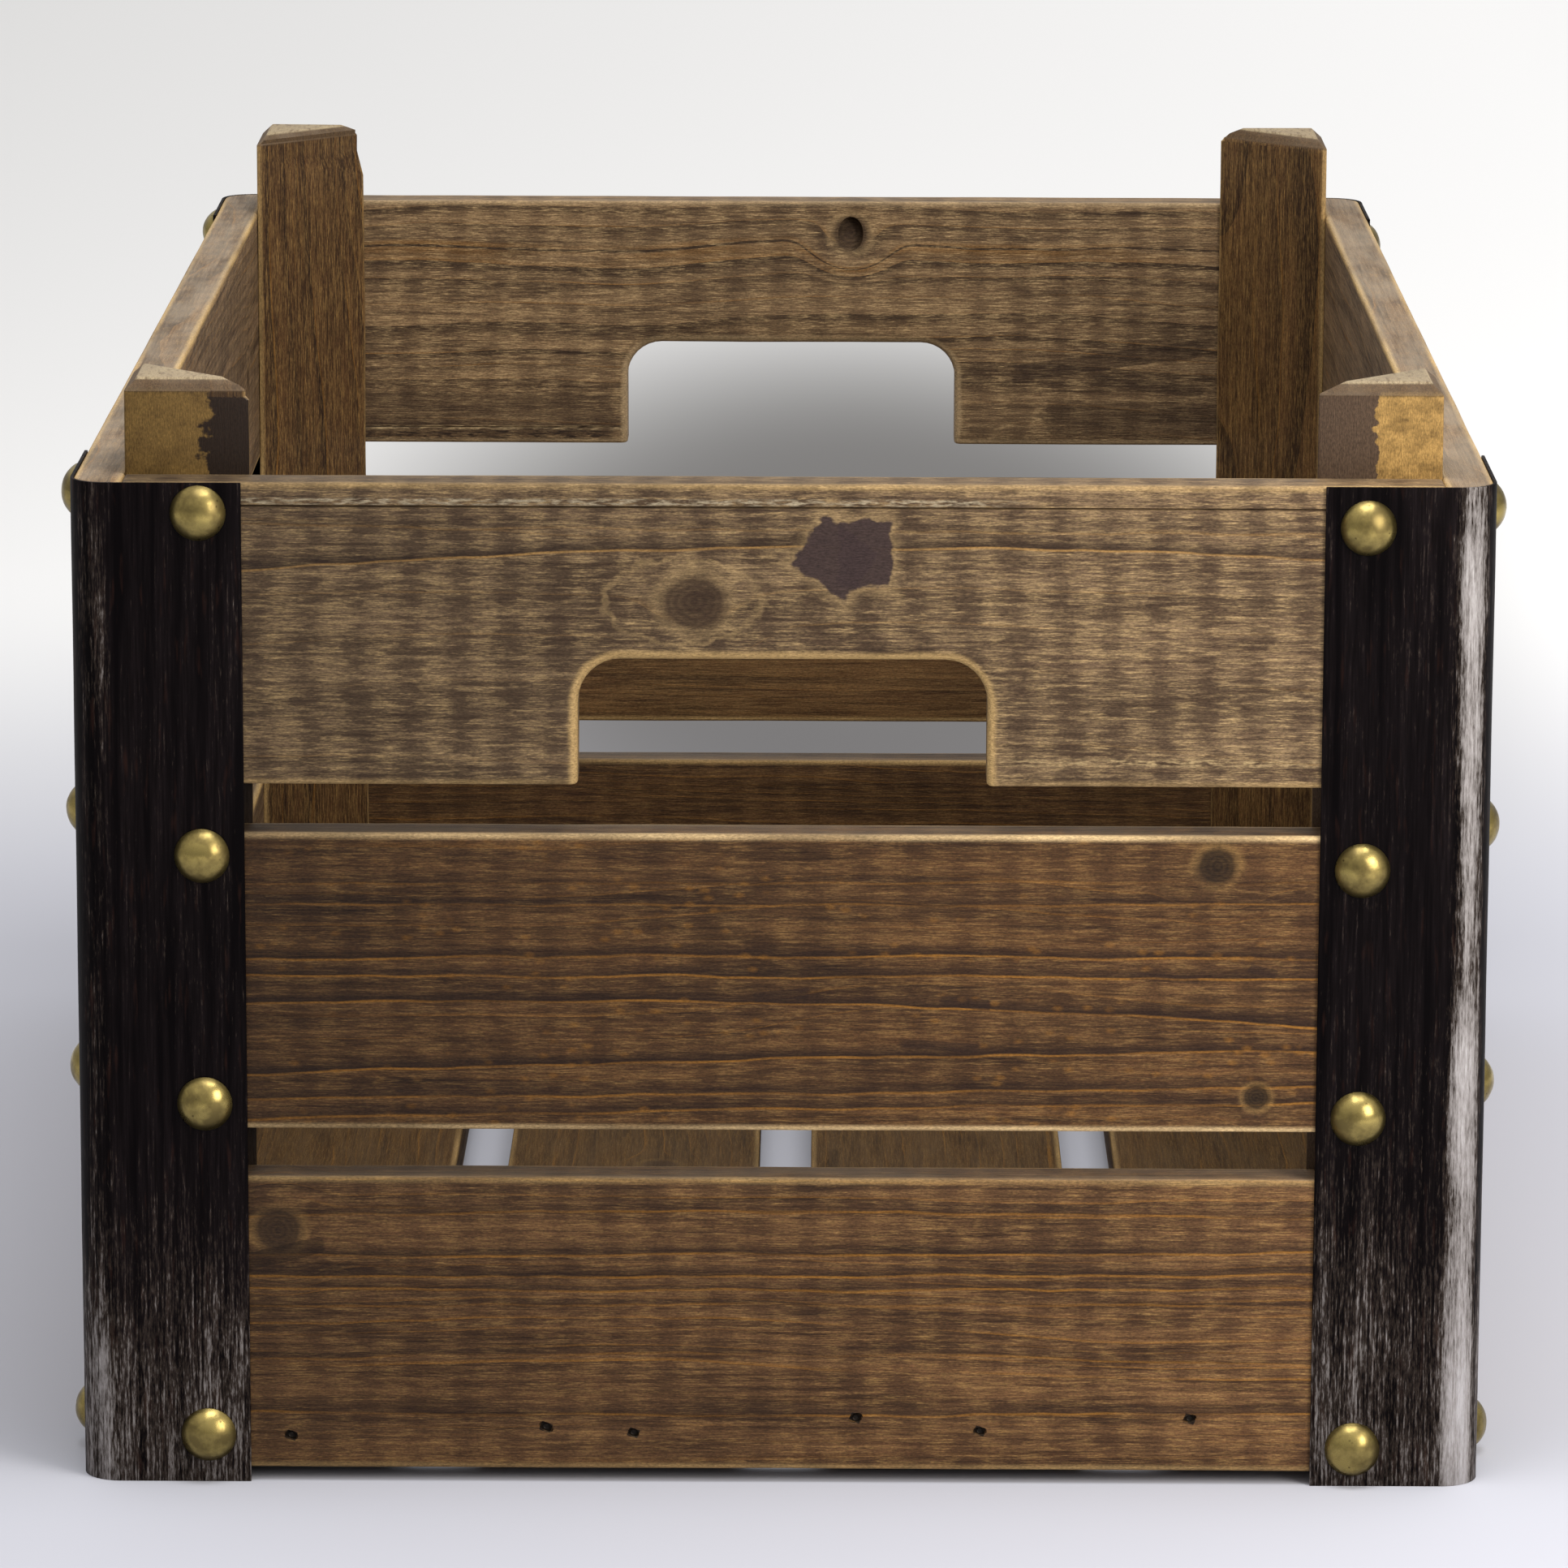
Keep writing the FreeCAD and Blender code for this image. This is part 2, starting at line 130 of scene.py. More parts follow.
def block(name, low, high):
    clear_bench()
    low, high = Vector(low), Vector(high)
    bpy.ops.mesh.primitive_cube_add(size=1, location=(low + high) / 2)
    cube = bpy.context.object
    cube.scale = high - low
    return settle(cube, name)


def pick(piece, kind, test):
    """Select the verts, edges or faces whose middle and direction pass the test."""
    open_up(piece)
    bpy.ops.mesh.select_mode(type=kind)
    bpy.ops.mesh.select_all(action="DESELECT")
    shape = bmesh.from_edit_mesh(piece.data)
    parts = {"VERT": shape.verts, "EDGE": shape.edges, "FACE": shape.faces}[kind]
    found = 0
    for part in parts:
        if kind == "EDGE":
            a, b = (v.co for v in part.verts)
            middle, way = (a + b) / 2, (b - a).normalized()
        else:
            middle = part.co if kind == "VERT" else part.calc_center_median()
            way = part.normal
        if test(middle, way):
            part.select_set(True)
            found += 1
    bmesh.update_edit_mesh(piece.data)
    return found


def outward(low, high):
    """Which way is out from the middle of the crate, and the box's outer x and y."""
    sx = 1 if low.x > 0 else -1
    sy = 1 if low.y > 0 else -1
    return sx, sy, (high.x if sx > 0 else low.x), (high.y if sy > 0 else low.y)


def near(a, b, reach=0.02 * MM):
    return abs(a - b) < reach


def rule_lines(piece, axis, stations):
    """Bisect the whole piece at each station, so that it has rows of faces to shape."""
    open_up(piece)
    way = Vector([float(a == axis) for a in AXES])
    for station in stations:
        bpy.ops.mesh.select_all(action="SELECT")
        bpy.ops.mesh.bisect(plane_co=way * station, plane_no=way)


def use_modifier(piece, kind, **settings):
    take_up(piece)
    step = piece.modifiers.new(kind.lower(), kind)
    for key, value in settings.items():
        setattr(step, key, value)
    bpy.ops.object.modifier_apply(modifier=step.name)


def finish_piece(piece, material, node, angle=32):
    """Smooth its rounded edges, give it its finish and put it in the CAD node's place."""
    take_up(piece)
    bpy.ops.object.shade_smooth_by_angle(angle=math.radians(angle))
    piece.data.materials.clear()
    piece.data.materials.append(material)
    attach(piece, "root")
    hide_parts(node)
    print(piece.name, "has", len(piece.data.polygons), "faces")


print("bench helpers ready")

# %% [markdown]
# ## Nodes and colours
# Colours are written as sRGB hex, as on a paint card, and one function turns them to the
# linear values that Blender mixes in. One more function adds a node with its settings and
# links, so that each finish below reads as a list of what it is made of.

# %% Colour and node helpers
def to_linear(colour):
    parts = [int(colour[i:i + 2], 16) / 255 for i in (1, 3, 5)]
    return tuple(c / 12.92 if c <= 0.04045 else ((c + 0.055) / 1.055) ** 2.4
                 for c in parts) + (1.0,)


MAIN_CHOICE = {"Math": "operation", "VectorMath": "operation", "Mix": "data_type",
               "MapRange": "interpolation_type", "VectorRotate": "rotation_type"}


def node_adder(tree):
    """Clear the tree and return the function that adds a node to it."""
    tree.nodes.clear()

    def add(kind, *values, **settings):
        """Add a node; "Math.SINE" also makes its main choice. Inputs come in order, or as
        one dict, and each is a value, a hex colour or another node's output."""
        kind, _, choice = kind.partition(".")
        node = tree.nodes.new("ShaderNode" + kind)
        if choice:
            settings[MAIN_CHOICE[kind]] = choice
        for key, value in settings.items():
            setattr(node, key, value)
        if values and isinstance(values[0], dict):
            inputs = [(node.inputs[key], value) for key, value in values[0].items()]
        else:
            inputs = zip([i for i in node.inputs if i.enabled], values)
        for socket, value in inputs:
            if isinstance(value, bpy.types.NodeSocket):
                tree.links.new(value, socket)
            else:
                socket.default_value = to_linear(value) if isinstance(value, str) else value
        return next((o for o in node.outputs if o.enabled), node)

    return add


def new_finish(name):
    material = bpy.data.materials.new(name)
    material.use_nodes = True
    return material, node_adder(material.node_tree)


print("pale pine in linear", [round(v, 3) for v in to_linear("#b59a6b")[:3]])

# %% [markdown]
# ## Finish: stained, planed pine
# The slats are sawn pine, run through a planer and wiped with a brown stain. Pine drinks
# stain unevenly: soft earlywood goes dark, and the hard edge of each growth ring stays
# pale orange, so a ring is a dark band that ends in a thin light line. The planer leaves
# faint cross ripples about 14 mm apart, and where it bruised the fibres the stain sits in
# short dark dashes. Edges are rubbed back to pale wood. All patterns are solid, in the
# board's own directions in millimetres, so the ends and edges match the faces.

# %% Stained pine
PINE = {
    "deep": "#20130c", "mid": "#452e1e", "light": "#6e502f", "fleck": "#997847",
    "ring_dark": "#20140f", "ring_line": "#8e6021", "bare": "#bd9d68", "knot": "#2e2017",
    "torn": "#342827", "dust_and_sheen": "#7d6e5c",
}
TORN_AMOUNT = 0.95  # patches darker than this are torn wood, and get a pale rim
STAIN_SOAK = 4.0  # millimetres
RING_TILT = 0.55  # how far the growth rings lean over through the board
RING_SPREAD = 26  # millimetres over which the spacing of the rings changes
RIPPLE_PITCH = 14.0  # millimetres between the planer's ripples
HOLD_HALF_WIDTH, HOLD_HEIGHT, HOLD_CORNER = 57.5, 36.0, 12.0  # millimetres
# For each pattern: the length and width of one cloud in millimetres, its detail, its
# roughness, its shift from board to board, and the part of its range that is drawn out.
GRAIN_PATTERNS = {
    "sway": (190, 70, 1.0, 0.55, 7.1), "wander": (34, 14, 2.0, 0.55, 2.7),
    "dash": (8, 1.35, 4.0, 0.75, 1.7), "rag": (5, 3.5, 3.0, 0.55, 5.5),
    "blotch": (80, 13, 5.0, 0.68, 2.2, 0.36, 0.66),
    "cloud": (38, 5, 3.0, 0.6, 4.4, 0.36, 0.64),
    "streak": (55, 1.1, 3.0, 0.6, 5.2, 0.5, 0.7),
    "fibre": (24, 0.85, 4.0, 0.65, 1.3, 0.34, 0.66),
    "hair": (4.6, 0.36, 3.0, 0.7, 3.9, 0.36, 0.66),
    "fickle": (60, 7, 2.0, 0.55, 9.1, 0.38, 0.62),
    "group": (50, 12, 1.0, 0.55, 8.8, 0.48, 0.6),
    "torn": (4.0, 0.8, 3.0, 0.55, 4.7, 0.44, 0.62),
    "pore": (1.1, 0.42, 2.0, 0.7, 7.7, 0.3, 0.7, 0.66, 1.42),
    "fading": (45, 9, 3.0, 0.55, 3.1, 0.36, 0.6, 0.25, 1.0),
}


def stained_pine(name, node, seed, along="X", across="Z", ring=8.0, bend=9.0, chatter=0.0,
                 flecks=0.5, lines=0.8, bands=0.6, knots=(), stains=(), stained_face=-1,
                 growth=(), specks=0.0, rough_rows=(), bare_patch=None, rub=0.6,
                 colours=None, painted_light_falloff=0.0, hand_hold=False):
    hue = dict(PINE, **(colours or {}))
    material, add = new_finish(name)
    low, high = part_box(node)
    through = next(a for a in AXES if a not in (along, across))
    order = [AXES.index(a) for a in (along, across, through)]
    centre = [(low[i] + high[i]) / 2 / MM for i in order]
    half = [(high[i] - low[i]) / 2 / MM for i in order]
    place = add("TexCoord").node.outputs["Object"]
    split = add("SeparateXYZ", place).node.outputs
    turned = add("CombineXYZ", *[split[i] for i in order])
    board = add("Mapping", {"Vector": turned, "Location": [-c for c in centre],
                            "Scale": (1 / MM,) * 3})
    u, v, w = add("SeparateXYZ", board).node.outputs

    cloudy = {}
    for pattern, settings in GRAIN_PATTERNS.items():
        long_mm, wide_mm, detail, roughness, shift, *drawn_out = settings
        spot = add("Mapping", {
            "Vector": board, "Location": (seed * shift, seed * shift * 0.37, seed * 1.9),
            "Scale": (1 / long_mm, 1 / wide_mm, 1 / wide_mm)})
        cloudy[pattern] = add("TexNoise", {"Vector": spot, "Scale": 1.0, "Detail": detail,
                                           "Roughness": roughness})
        if drawn_out:
            cloudy[pattern] = add("MapRange", cloudy[pattern], *drawn_out)

    # Slow sway and short wander of the growth rings along the board.
    sway, wander = cloudy["sway"], cloudy["wander"]
    lean = add("Math.MULTIPLY_ADD", w, RING_TILT, v)
    swayed = add("Math.MULTIPLY_ADD", sway, bend * 4, lean)
    grain = add("Math.MULTIPLY_ADD", wander, 2.2, swayed)
    middle = bend * 2 + 1.1  # what sway and wander add on average

    # Each knot pushes the rings apart, and gives its own distance for its colour.
    knot_at = []
    for ku, kv, radius, halo_long, halo_tall in knots:
        off = add("VectorMath.SUBTRACT", board, (ku, kv, 0))
        flat = add("VectorMath.MULTIPLY", off, (0.92 / radius, 1 / radius, 0))
        reach = add("VectorMath.LENGTH", flat).node.outputs["Value"]
        collar = None
        if halo_long:
            flat = add("VectorMath.MULTIPLY", off, (1 / halo_long, 1 / halo_tall, 0))
            flat = add("VectorMath.ADD", flat, (0.16, 0.0, 0.0))
            collar = add("VectorMath.LENGTH", flat).node.outputs["Value"]
        knot_at.append((reach, collar))
        fade = add("MapRange.SMOOTHERSTEP", reach, 0.6, 3.6, 0.86, 0.0)
        keep = add("Math.SUBTRACT", 1.0, fade)
        gap = add("Math.SUBTRACT", grain, kv + middle)
        grain = add("Math.MULTIPLY_ADD", gap, keep, kv + middle)

    # Rings: an uneven saw-tooth, dark before each thin pale line.
    spread_at = add("CombineXYZ", grain, seed * 5.7)
    spread = add("TexNoise", {"Vector": spread_at, "Scale": 1 / RING_SPREAD, "Detail": 1.0})
    even = add("Math.MULTIPLY", grain, 1 / ring)
    count = add("Math.MULTIPLY_ADD", spread, RING_SPREAD / ring * 1.5, even)
    step = add("Math.FRACT", count)
    number = add("Math.FLOOR", count)
    chance = add("TexWhiteNoise", {"W": number}, noise_dimensions="1D")
    line = add("MapRange.SMOOTHSTEP", step, 0.0, min(0.4, 0.9 / ring), 1.0, 0.0)
    band = add("MapRange.SMOOTHSTEP", step, 0.3, 1.0)
    weight = add("MapRange", chance, 0.0, 1.0, 0.2, 1.0)
    line = add("Math.MULTIPLY", line, weight)
    line = add("Math.MULTIPLY", line, cloudy["fickle"])
    band = add("Math.MULTIPLY", band, weight)

    # Fibres are long fine streaks under 1 mm high, and hairs are short and pale.
    fibre, hair, blotch, fading = (cloudy[k] for k in ("fibre", "hair", "blotch", "fading"))

    # Planer ripples: rows across the board, broken into short dashes.
    ripple = add("Math.MULTIPLY_ADD", sway, 20.0, u)
    ripple = add("Math.MULTIPLY", ripple, 2 * math.pi / RIPPLE_PITCH)
    ripple = add("Math.SINE", ripple)
    ripple = add("MapRange", ripple, -1.0, 1.0)
    dash = add("Math.MULTIPLY_ADD", ripple, 0.15, cloudy["dash"])
    dash = add("Math.MULTIPLY_ADD", blotch, -0.12, dash)
    dash = add("MapRange.SMOOTHSTEP", dash, 0.42, 0.66)

    tone = add("Mix.RGBA", blotch, hue["deep"], hue["mid"])
    coats = [(cloudy["cloud"], hue["light"], 0.38), (fibre, hue["light"], 0.5),
             (cloudy["streak"], hue["ring_dark"], 0.55), (band, hue["ring_dark"], bands)]
    if chatter:
        coats.append((dash, hue["deep"], chatter))
    bright = add("Math.MULTIPLY_ADD", fibre, 0.5, 0.5)
    bright = add("Math.MULTIPLY", hair, bright)
    bright = add("MapRange", bright, 0.22, 0.85)
    if chatter:
        calm = add("Math.SUBTRACT", 1.0, dash)
        bright = add("Math.MULTIPLY", bright, calm)
    coats.append((bright, hue["fleck"], flecks))
    coats.append((line, hue["ring_line"], lines))

    # A few strong growth lines run the length of the board: each is a thin pale line
    # with the dark of the year before it on its upper side.
    across_u = add("Math.MULTIPLY", u, 1 / half[0])
    squared = add("Math.MULTIPLY", across_u, across_u)
    waved = add("Math.MULTIPLY_ADD", wander, 3.0, v)
    for left, mid, right, strength in growth:
        slope, curve = (right - left) / 2, (left + right) / 2 - mid
        height = add("Math.MULTIPLY_ADD", across_u, -slope, waved)
        height = add("Math.MULTIPLY_ADD", squared, -curve, height)
        height = add("Math.SUBTRACT", height, mid + 1.5)
        shadow = add("MapRange.SMOOTHSTEP", height, 0.2, 4.6, strength * 0.9, 0.0)
        upper = add("MapRange", height, -0.25, 0.25)
        coats.append((shadow, hue["ring_dark"], upper))
        away = add("Math.ABSOLUTE", height)
        thin = add("MapRange.SMOOTHSTEP", away, 0.05, 0.55, strength * 0.9, 0.0)
        coats.append((thin, hue["ring_line"], fading))

    if specks:
        dots_at = add("Mapping", {"Vector": board, "Location": (seed, seed, 0),
                                  "Scale": (1 / 6.5, 1 / 3.6, 1 / 30)})
        dots = add("TexVoronoi", {"Vector": dots_at, "Scale": 1.0}).node.outputs
        speck = add("MapRange.SMOOTHSTEP", dots["Distance"], 0.08, 0.34, 1.0, 0.0)
        coats.append((speck, hue["ring_line"], cloudy["group"], specks))

    # Knots: a soft dark heart with faint rings, a warm collar, sometimes a pale halo.
    for reach, collar in knot_at:
        ragged = add("Math.MULTIPLY_ADD", wander, 0.5, reach)
        warm = add("MapRange.SMOOTHSTEP", ragged, 1.3, 1.7, 0.3, 0.0)
        coats.append((warm, hue["fleck"], fading))
        inside = add("MapRange.SMOOTHSTEP", ragged, 0.95, 1.45, 1.0, 0.0)
        turn = add("Math.MULTIPLY", ragged, 26.0)
        turn = add("Math.SINE", turn)
        faint = add("MapRange", turn, -1.0, 1.0, 0.9, 1.0)
        depth = add("MapRange", ragged, 0.3, 1.4, 0.97, 0.8)
        coats.append((faint, hue["knot"], depth, inside))
        if collar:
            ragged = add("Math.MULTIPLY_ADD", cloudy["rag"], 0.4, collar)
            away = add("Math.SUBTRACT", ragged, 1.2)
            away = add("Math.ABSOLUTE", away)
            ring_at = add("MapRange.SMOOTHSTEP", away, 0.01, 0.09, 0.4, 0.0)
            coats.append((ring_at, hue["fleck"], fading))

    # Torn or bruised wood, where the stain soaked in nearly purple-black: boxy patches.
    spots = []
    for su, sv, wide, tall, turn, colour, amount in stains:
        off = add("VectorMath.SUBTRACT", board, (su, sv, stained_face * half[2]))
        turned = add("VectorRotate", {"Vector": off, "Angle": math.radians(turn)},
                     rotation_type="Z_AXIS")
        flat = add("VectorMath.MULTIPLY", turned, (2 / wide, 2 / tall, 1 / STAIN_SOAK))
        flat = add("VectorMath.ABSOLUTE", flat)
        sides = add("SeparateXYZ", flat).node.outputs
        reach = add("Math.SMOOTH_MAX", sides[0], sides[1], 0.25)
        reach = add("Math.MAXIMUM", reach, sides[2])
        reach = add("Math.MULTIPLY_ADD", cloudy["rag"], 0.5, reach)
        if amount > TORN_AMOUNT:
            rim = add("MapRange", reach, 1.25, 1.6, 0.3, 0.0)
            coats.append((rim, hue["fleck"]))
        spots.append((reach, colour, amount))
    for reach, colour, amount in spots:
        spot = add("MapRange.SMOOTHSTEP", reach, 1.18, 1.31, amount, 0.0)
        coats.append((spot, colour))

    # Rows of torn, whitish fibre beside a glued seam.
    for row, wide, u_from, u_to, colour in rough_rows:
        away = add("Math.SUBTRACT", v, row)
        away = add("Math.ABSOLUTE", away)
        strip = add("MapRange.SMOOTHSTEP", away, wide * 0.4, wide, 1.0, 0.0)
        start = add("MapRange.SMOOTHSTEP", u, u_from - 14, u_from + 14)
        end = add("MapRange.SMOOTHSTEP", u, u_to - 14, u_to + 14, 1.0, 0.0)
        coats.append((strip, colour, cloudy["torn"], start, end))

    # Long edges rubbed back to pale wood, more in some places than others.
    from_edge = add("Math.ABSOLUTE", v)
    edge_rub = add("MapRange.SMOOTHSTEP", from_edge, half[1] - 2.3, half[1] - 0.7)
    from_face = add("Math.ABSOLUTE", w)
    face_rub = add("MapRange.SMOOTHSTEP", from_face, half[2] - 2.3, half[2] - 0.7)
    worn = add("Math.MULTIPLY_ADD", cloudy["fickle"], 0.6, 0.4)
    coats.append((edge_rub, hue["bare"], face_rub, worn, rub))

    if hand_hold:
        # The routed round-over of the hand hold: bare, handled wood 2 to 3 mm wide.
        reach_u = add("Math.ABSOLUTE", u)
        reach_u = add("Math.SUBTRACT", reach_u, HOLD_HALF_WIDTH - HOLD_CORNER)
        reach_v = add("Math.SUBTRACT", v, HOLD_HEIGHT - half[1] - HOLD_CORNER)
        reach_u = add("Math.MAXIMUM", reach_u, 0.0)
        reach_v = add("Math.MAXIMUM", reach_v, 0.0)
        both = add("CombineXYZ", reach_u, reach_v)
        away = add("VectorMath.LENGTH", both).node.outputs["Value"]
        away = add("Math.MULTIPLY_ADD", wander, 2.0, away)
        lip = add("MapRange.SMOOTHSTEP", away, HOLD_CORNER + 2.2, HOLD_CORNER + 4.2, 1.0, 0.0)
        outer = add("MapRange", from_face, half[2] - 4.0, half[2] - 1.0)
        coats.append((lip, hue["bare"], outer, 0.62))

    # The coats go on one after another, each held back by its shares.
    for amount, colour, *shares in coats:
        for share in shares:
            amount = add("Math.MULTIPLY", amount, share)
        tone = add("Mix.RGBA", amount, tone, colour)
    if bare_patch:
        tone = bare_patch(add, tone, place)
    tone = add("HueSaturation", {"Value": cloudy["pore"], "Color": tone})
    # Upward faces get a pale layer that is partly dust and rubbed stain and partly painted sheen,
    # as if light from above caught the tops.
    normal = add("NewGeometry").node.outputs["Normal"]
    upward = add("SeparateXYZ", normal).node.outputs["Z"]
    dust_and_sheen = add("MapRange", upward, 0.6, 1.0, 0.0, 0.42)
    dust_and_sheen = add("Math.MULTIPLY", dust_and_sheen, fading)
    tone = add("Mix.RGBA", dust_and_sheen, tone, hue["dust_and_sheen"])
    if painted_light_falloff:
        # Painted light falloff: the board is darker towards one end of its length and lighter
        # towards the other; on the front slats it is darker to the left, as if the light from the
        # right fell off across it.
        paler = add("MapRange", across_u, -1.0, 1.0, 1.0 - painted_light_falloff, 1.0 + painted_light_falloff)
        tone = add("HueSaturation", {"Value": paler, "Color": tone})

    relief = add("Math.MULTIPLY_ADD", fibre, 0.35, hair)
    relief = add("Math.MULTIPLY_ADD", line, 0.8, relief)
    relief = add("Math.MULTIPLY_ADD", ripple, chatter * 0.6, relief)
    bump = add("Bump", {"Strength": 0.5, "Distance": 0.16 * MM, "Height": relief})
    rough = add("MapRange", fibre, 0.0, 1.0, 0.66, 0.5)
    wood = add("BsdfPrincipled", {"Base Color": tone, "Roughness": rough,
                                  "Specular IOR Level": 0.13, "Normal": bump})
    add("OutputMaterial", {"Surface": wood})
    return material


print("stained pine has", len(PINE), "colours")

# %% [markdown]
# ## Slats for the ends
# Each end has three slats of planed board, 370 x 86 x 14 mm, with their long edges eased.
# A slat starts as a block. Its sharp edges are bevelled in three steps, it is ruled across
# with bisect lines, and a very small cloudy displacement takes away the dead-flat look of
# a new block. The top slat gets its hand hold first: a block with two rounded corners is
# cut out of its lower edge, and the cut edges get a wide routed round-over.

# %% A slat with eased edges
unevenness = bpy.data.textures.new("board_unevenness", "CLOUDS")
unevenness.noise_scale = 0.045


def spaced(start, end, step):
    count = max(1, round((end - start) / step))
    return [start + (end - start) * i / count for i in range(1, count)]


def ease_edges(piece, amount, test=lambda middle, way: True, steps=3):
    """Bevel the sharp edges that pass the test."""
    pick(piece, "EDGE", lambda middle, way: False)
    bpy.ops.mesh.edges_select_sharp(sharpness=math.radians(50))
    shape = bmesh.from_edit_mesh(piece.data)
    sharp = [e for e in shape.edges if e.select]
    for edge in sharp:
        a, b = (v.co for v in edge.verts)
        edge.select_set(bool(test((a + b) / 2, (b - a).normalized())))
    kept = sum(e.select for e in sharp)
    bmesh.update_edit_mesh(piece.data)
    if kept:
        bpy.ops.mesh.bevel(offset=amount, offset_type="OFFSET", segments=steps,
                           affect="EDGES", clamp_overlap=True)


def weather(piece, amount=0.35):
    """Very small waves over the whole piece, amount in millimetres."""
    use_modifier(piece, "DISPLACE", texture=unevenness, texture_coords="LOCAL",
                 strength=amount * MM, mid_level=0.5)


def cut_with(piece, cutter):
    use_modifier(piece, "BOOLEAN", operation="DIFFERENCE", object=cutter, solver="EXACT")
    bpy.data.objects.remove(cutter)


END_STEP = 10 * MM  # between ruled lines
EASED_EDGE, HOLD_ROUND = 1.0 * MM, 2.3 * MM
LEVELS = ("top", "middle", "bottom")


def end_slat(node, hand_hold):
    """One slat of an end, with eased edges and ruled into small squares."""
    low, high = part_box(node)
    slat = block(node + "_wood", low, high)
    if hand_hold:
        reach = HOLD_HALF_WIDTH * MM
        top = low.z + HOLD_HEIGHT * MM
        cutter = block("hand_hold_cutter", (-reach, low.y - 0.01, low.z - 0.01),
                       (reach, high.y + 0.01, top))
        pick(cutter, "EDGE", lambda m, way: abs(way.y) > 0.9 and near(m.z, top))
        bpy.ops.mesh.bevel(offset=HOLD_CORNER * MM, segments=8, affect="EDGES")
        cut_with(slat, cutter)
        ease_edges(slat, HOLD_ROUND, lambda m, way: abs(m.x) < reach + MM and m.z < top + MM
                   and abs(way.y) < 0.1 and not near(m.z, low.z))
    ease_edges(slat, EASED_EDGE)
    rule_lines(slat, "X", spaced(low.x, high.x, END_STEP))
    rule_lines(slat, "Z", spaced(low.z, high.z, END_STEP))
    return slat, low, high


def finish_slats(end, slats, looks):
    for level, look in looks.items():
        node = f"{end}_{level}_slat"
        pine = stained_pine(node=node, **look)
        finish_piece(slats[level][0], pine, node)


print("slat helpers ready")

# %% [markdown]
# ## The three front slats
# The top slat is two strips glued edge to edge, so a fine groove runs along it 6 mm below
# the rim, with torn fibre above, and a second short groove starts right of the hand hold.
# A groove is three bisect lines with the middle one pushed in. A round knot is dished a
# little, because its hard heart is planed lower when the soft wood springs back.

# %% Grooves, knots and nail mouths
def groove(piece, z, deep, half_width, x_from, x_to, face_y):
    """Push the middle of three ruled lines into the front face, between two places."""
    rule_lines(piece, "Z", (z - half_width, z, z + half_width))
    rule_lines(piece, "X", (x_from, x_to))
    pick(piece, "VERT", lambda co, way: near(co.z, z) and near(co.y, face_y, 0.05 * MM)
         and x_from + 0.001 * MM < co.x < x_to - 0.001 * MM)
    bpy.ops.transform.translate(value=(0, deep, 0))


def dish(piece, x, z, radius, deep, face_y):
    """Rule fine lines round a knot, then push its middle in with a soft falloff."""
    span = [i / 4 for i in range(-5, 6)]
    rule_lines(piece, "X", [x + radius * s for s in span])
    rule_lines(piece, "Z", [z + radius * s for s in span])
    pick(piece, "VERT", lambda co, way: near(co.y, face_y, 0.05 * MM)
         and math.hypot(co.x - x, co.z - z) < radius * 0.3)
    bpy.ops.transform.translate(value=(0, deep, 0), use_proportional_edit=True,
                                proportional_edit_falloff="SPHERE",
                                proportional_size=radius * 0.95)


front_slats = {level: end_slat(f"front_{level}_slat", level == "top") for level in LEVELS}
slat, low, high = front_slats["top"]
groove(slat, high.z - 6.6 * MM, 0.9 * MM, 0.35 * MM, low.x + 2 * MM, high.x - 2 * MM, low.y)
groove(slat, low.z + 9.5 * MM, 0.6 * MM, 0.3 * MM, 60 * MM, 150 * MM, low.y)
dish(slat, -24.8 * MM, 256.7 * MM, 10 * MM, 0.5 * MM, low.y)
slat, low, high = front_slats["middle"]
dish(slat, 134.6 * MM, 114.1 * MM, 4 * MM, 0.6 * MM, low.y)
dish(slat, 122.7 * MM, 181.0 * MM, 6 * MM, 0.3 * MM, low.y)

# Mouths of the floor nails: small torn, tilted slots with the steel head deep inside.
BRAD_X = (-140, -67, -42, 21.5, 57, 117)
BRAD_Z = (13.6, 16.3, 14.7, 19.3, 15.6, 19.5)


def nail_mouths(piece, face_y, places):
    shaper = random.Random(5)
    for x, z in places:
        clear_bench()
        bpy.ops.mesh.primitive_cylinder_add(
            vertices=10, radius=1.6 * MM, depth=2.6 * MM,
            location=(x * MM, face_y, z * MM), rotation=(math.pi / 2, 0, 0))
        mouth = bpy.context.object
        mouth.scale = (shaper.uniform(1.1, 1.5), shaper.uniform(0.7, 0.95), 1)
        mouth.rotation_euler[1] = math.radians(shaper.uniform(-35, 35))
        settle(mouth, "nail_mouth_cutter")
        cut_with(piece, mouth)


slat, low, high = front_slats["bottom"]
nail_mouths(slat, low.y, list(zip(BRAD_X, BRAD_Z)))
for slat, low, high in front_slats.values():
    weather(slat)
    print(slat.name, [round(s / MM, 2) for s in slat.dimensions], "mm")

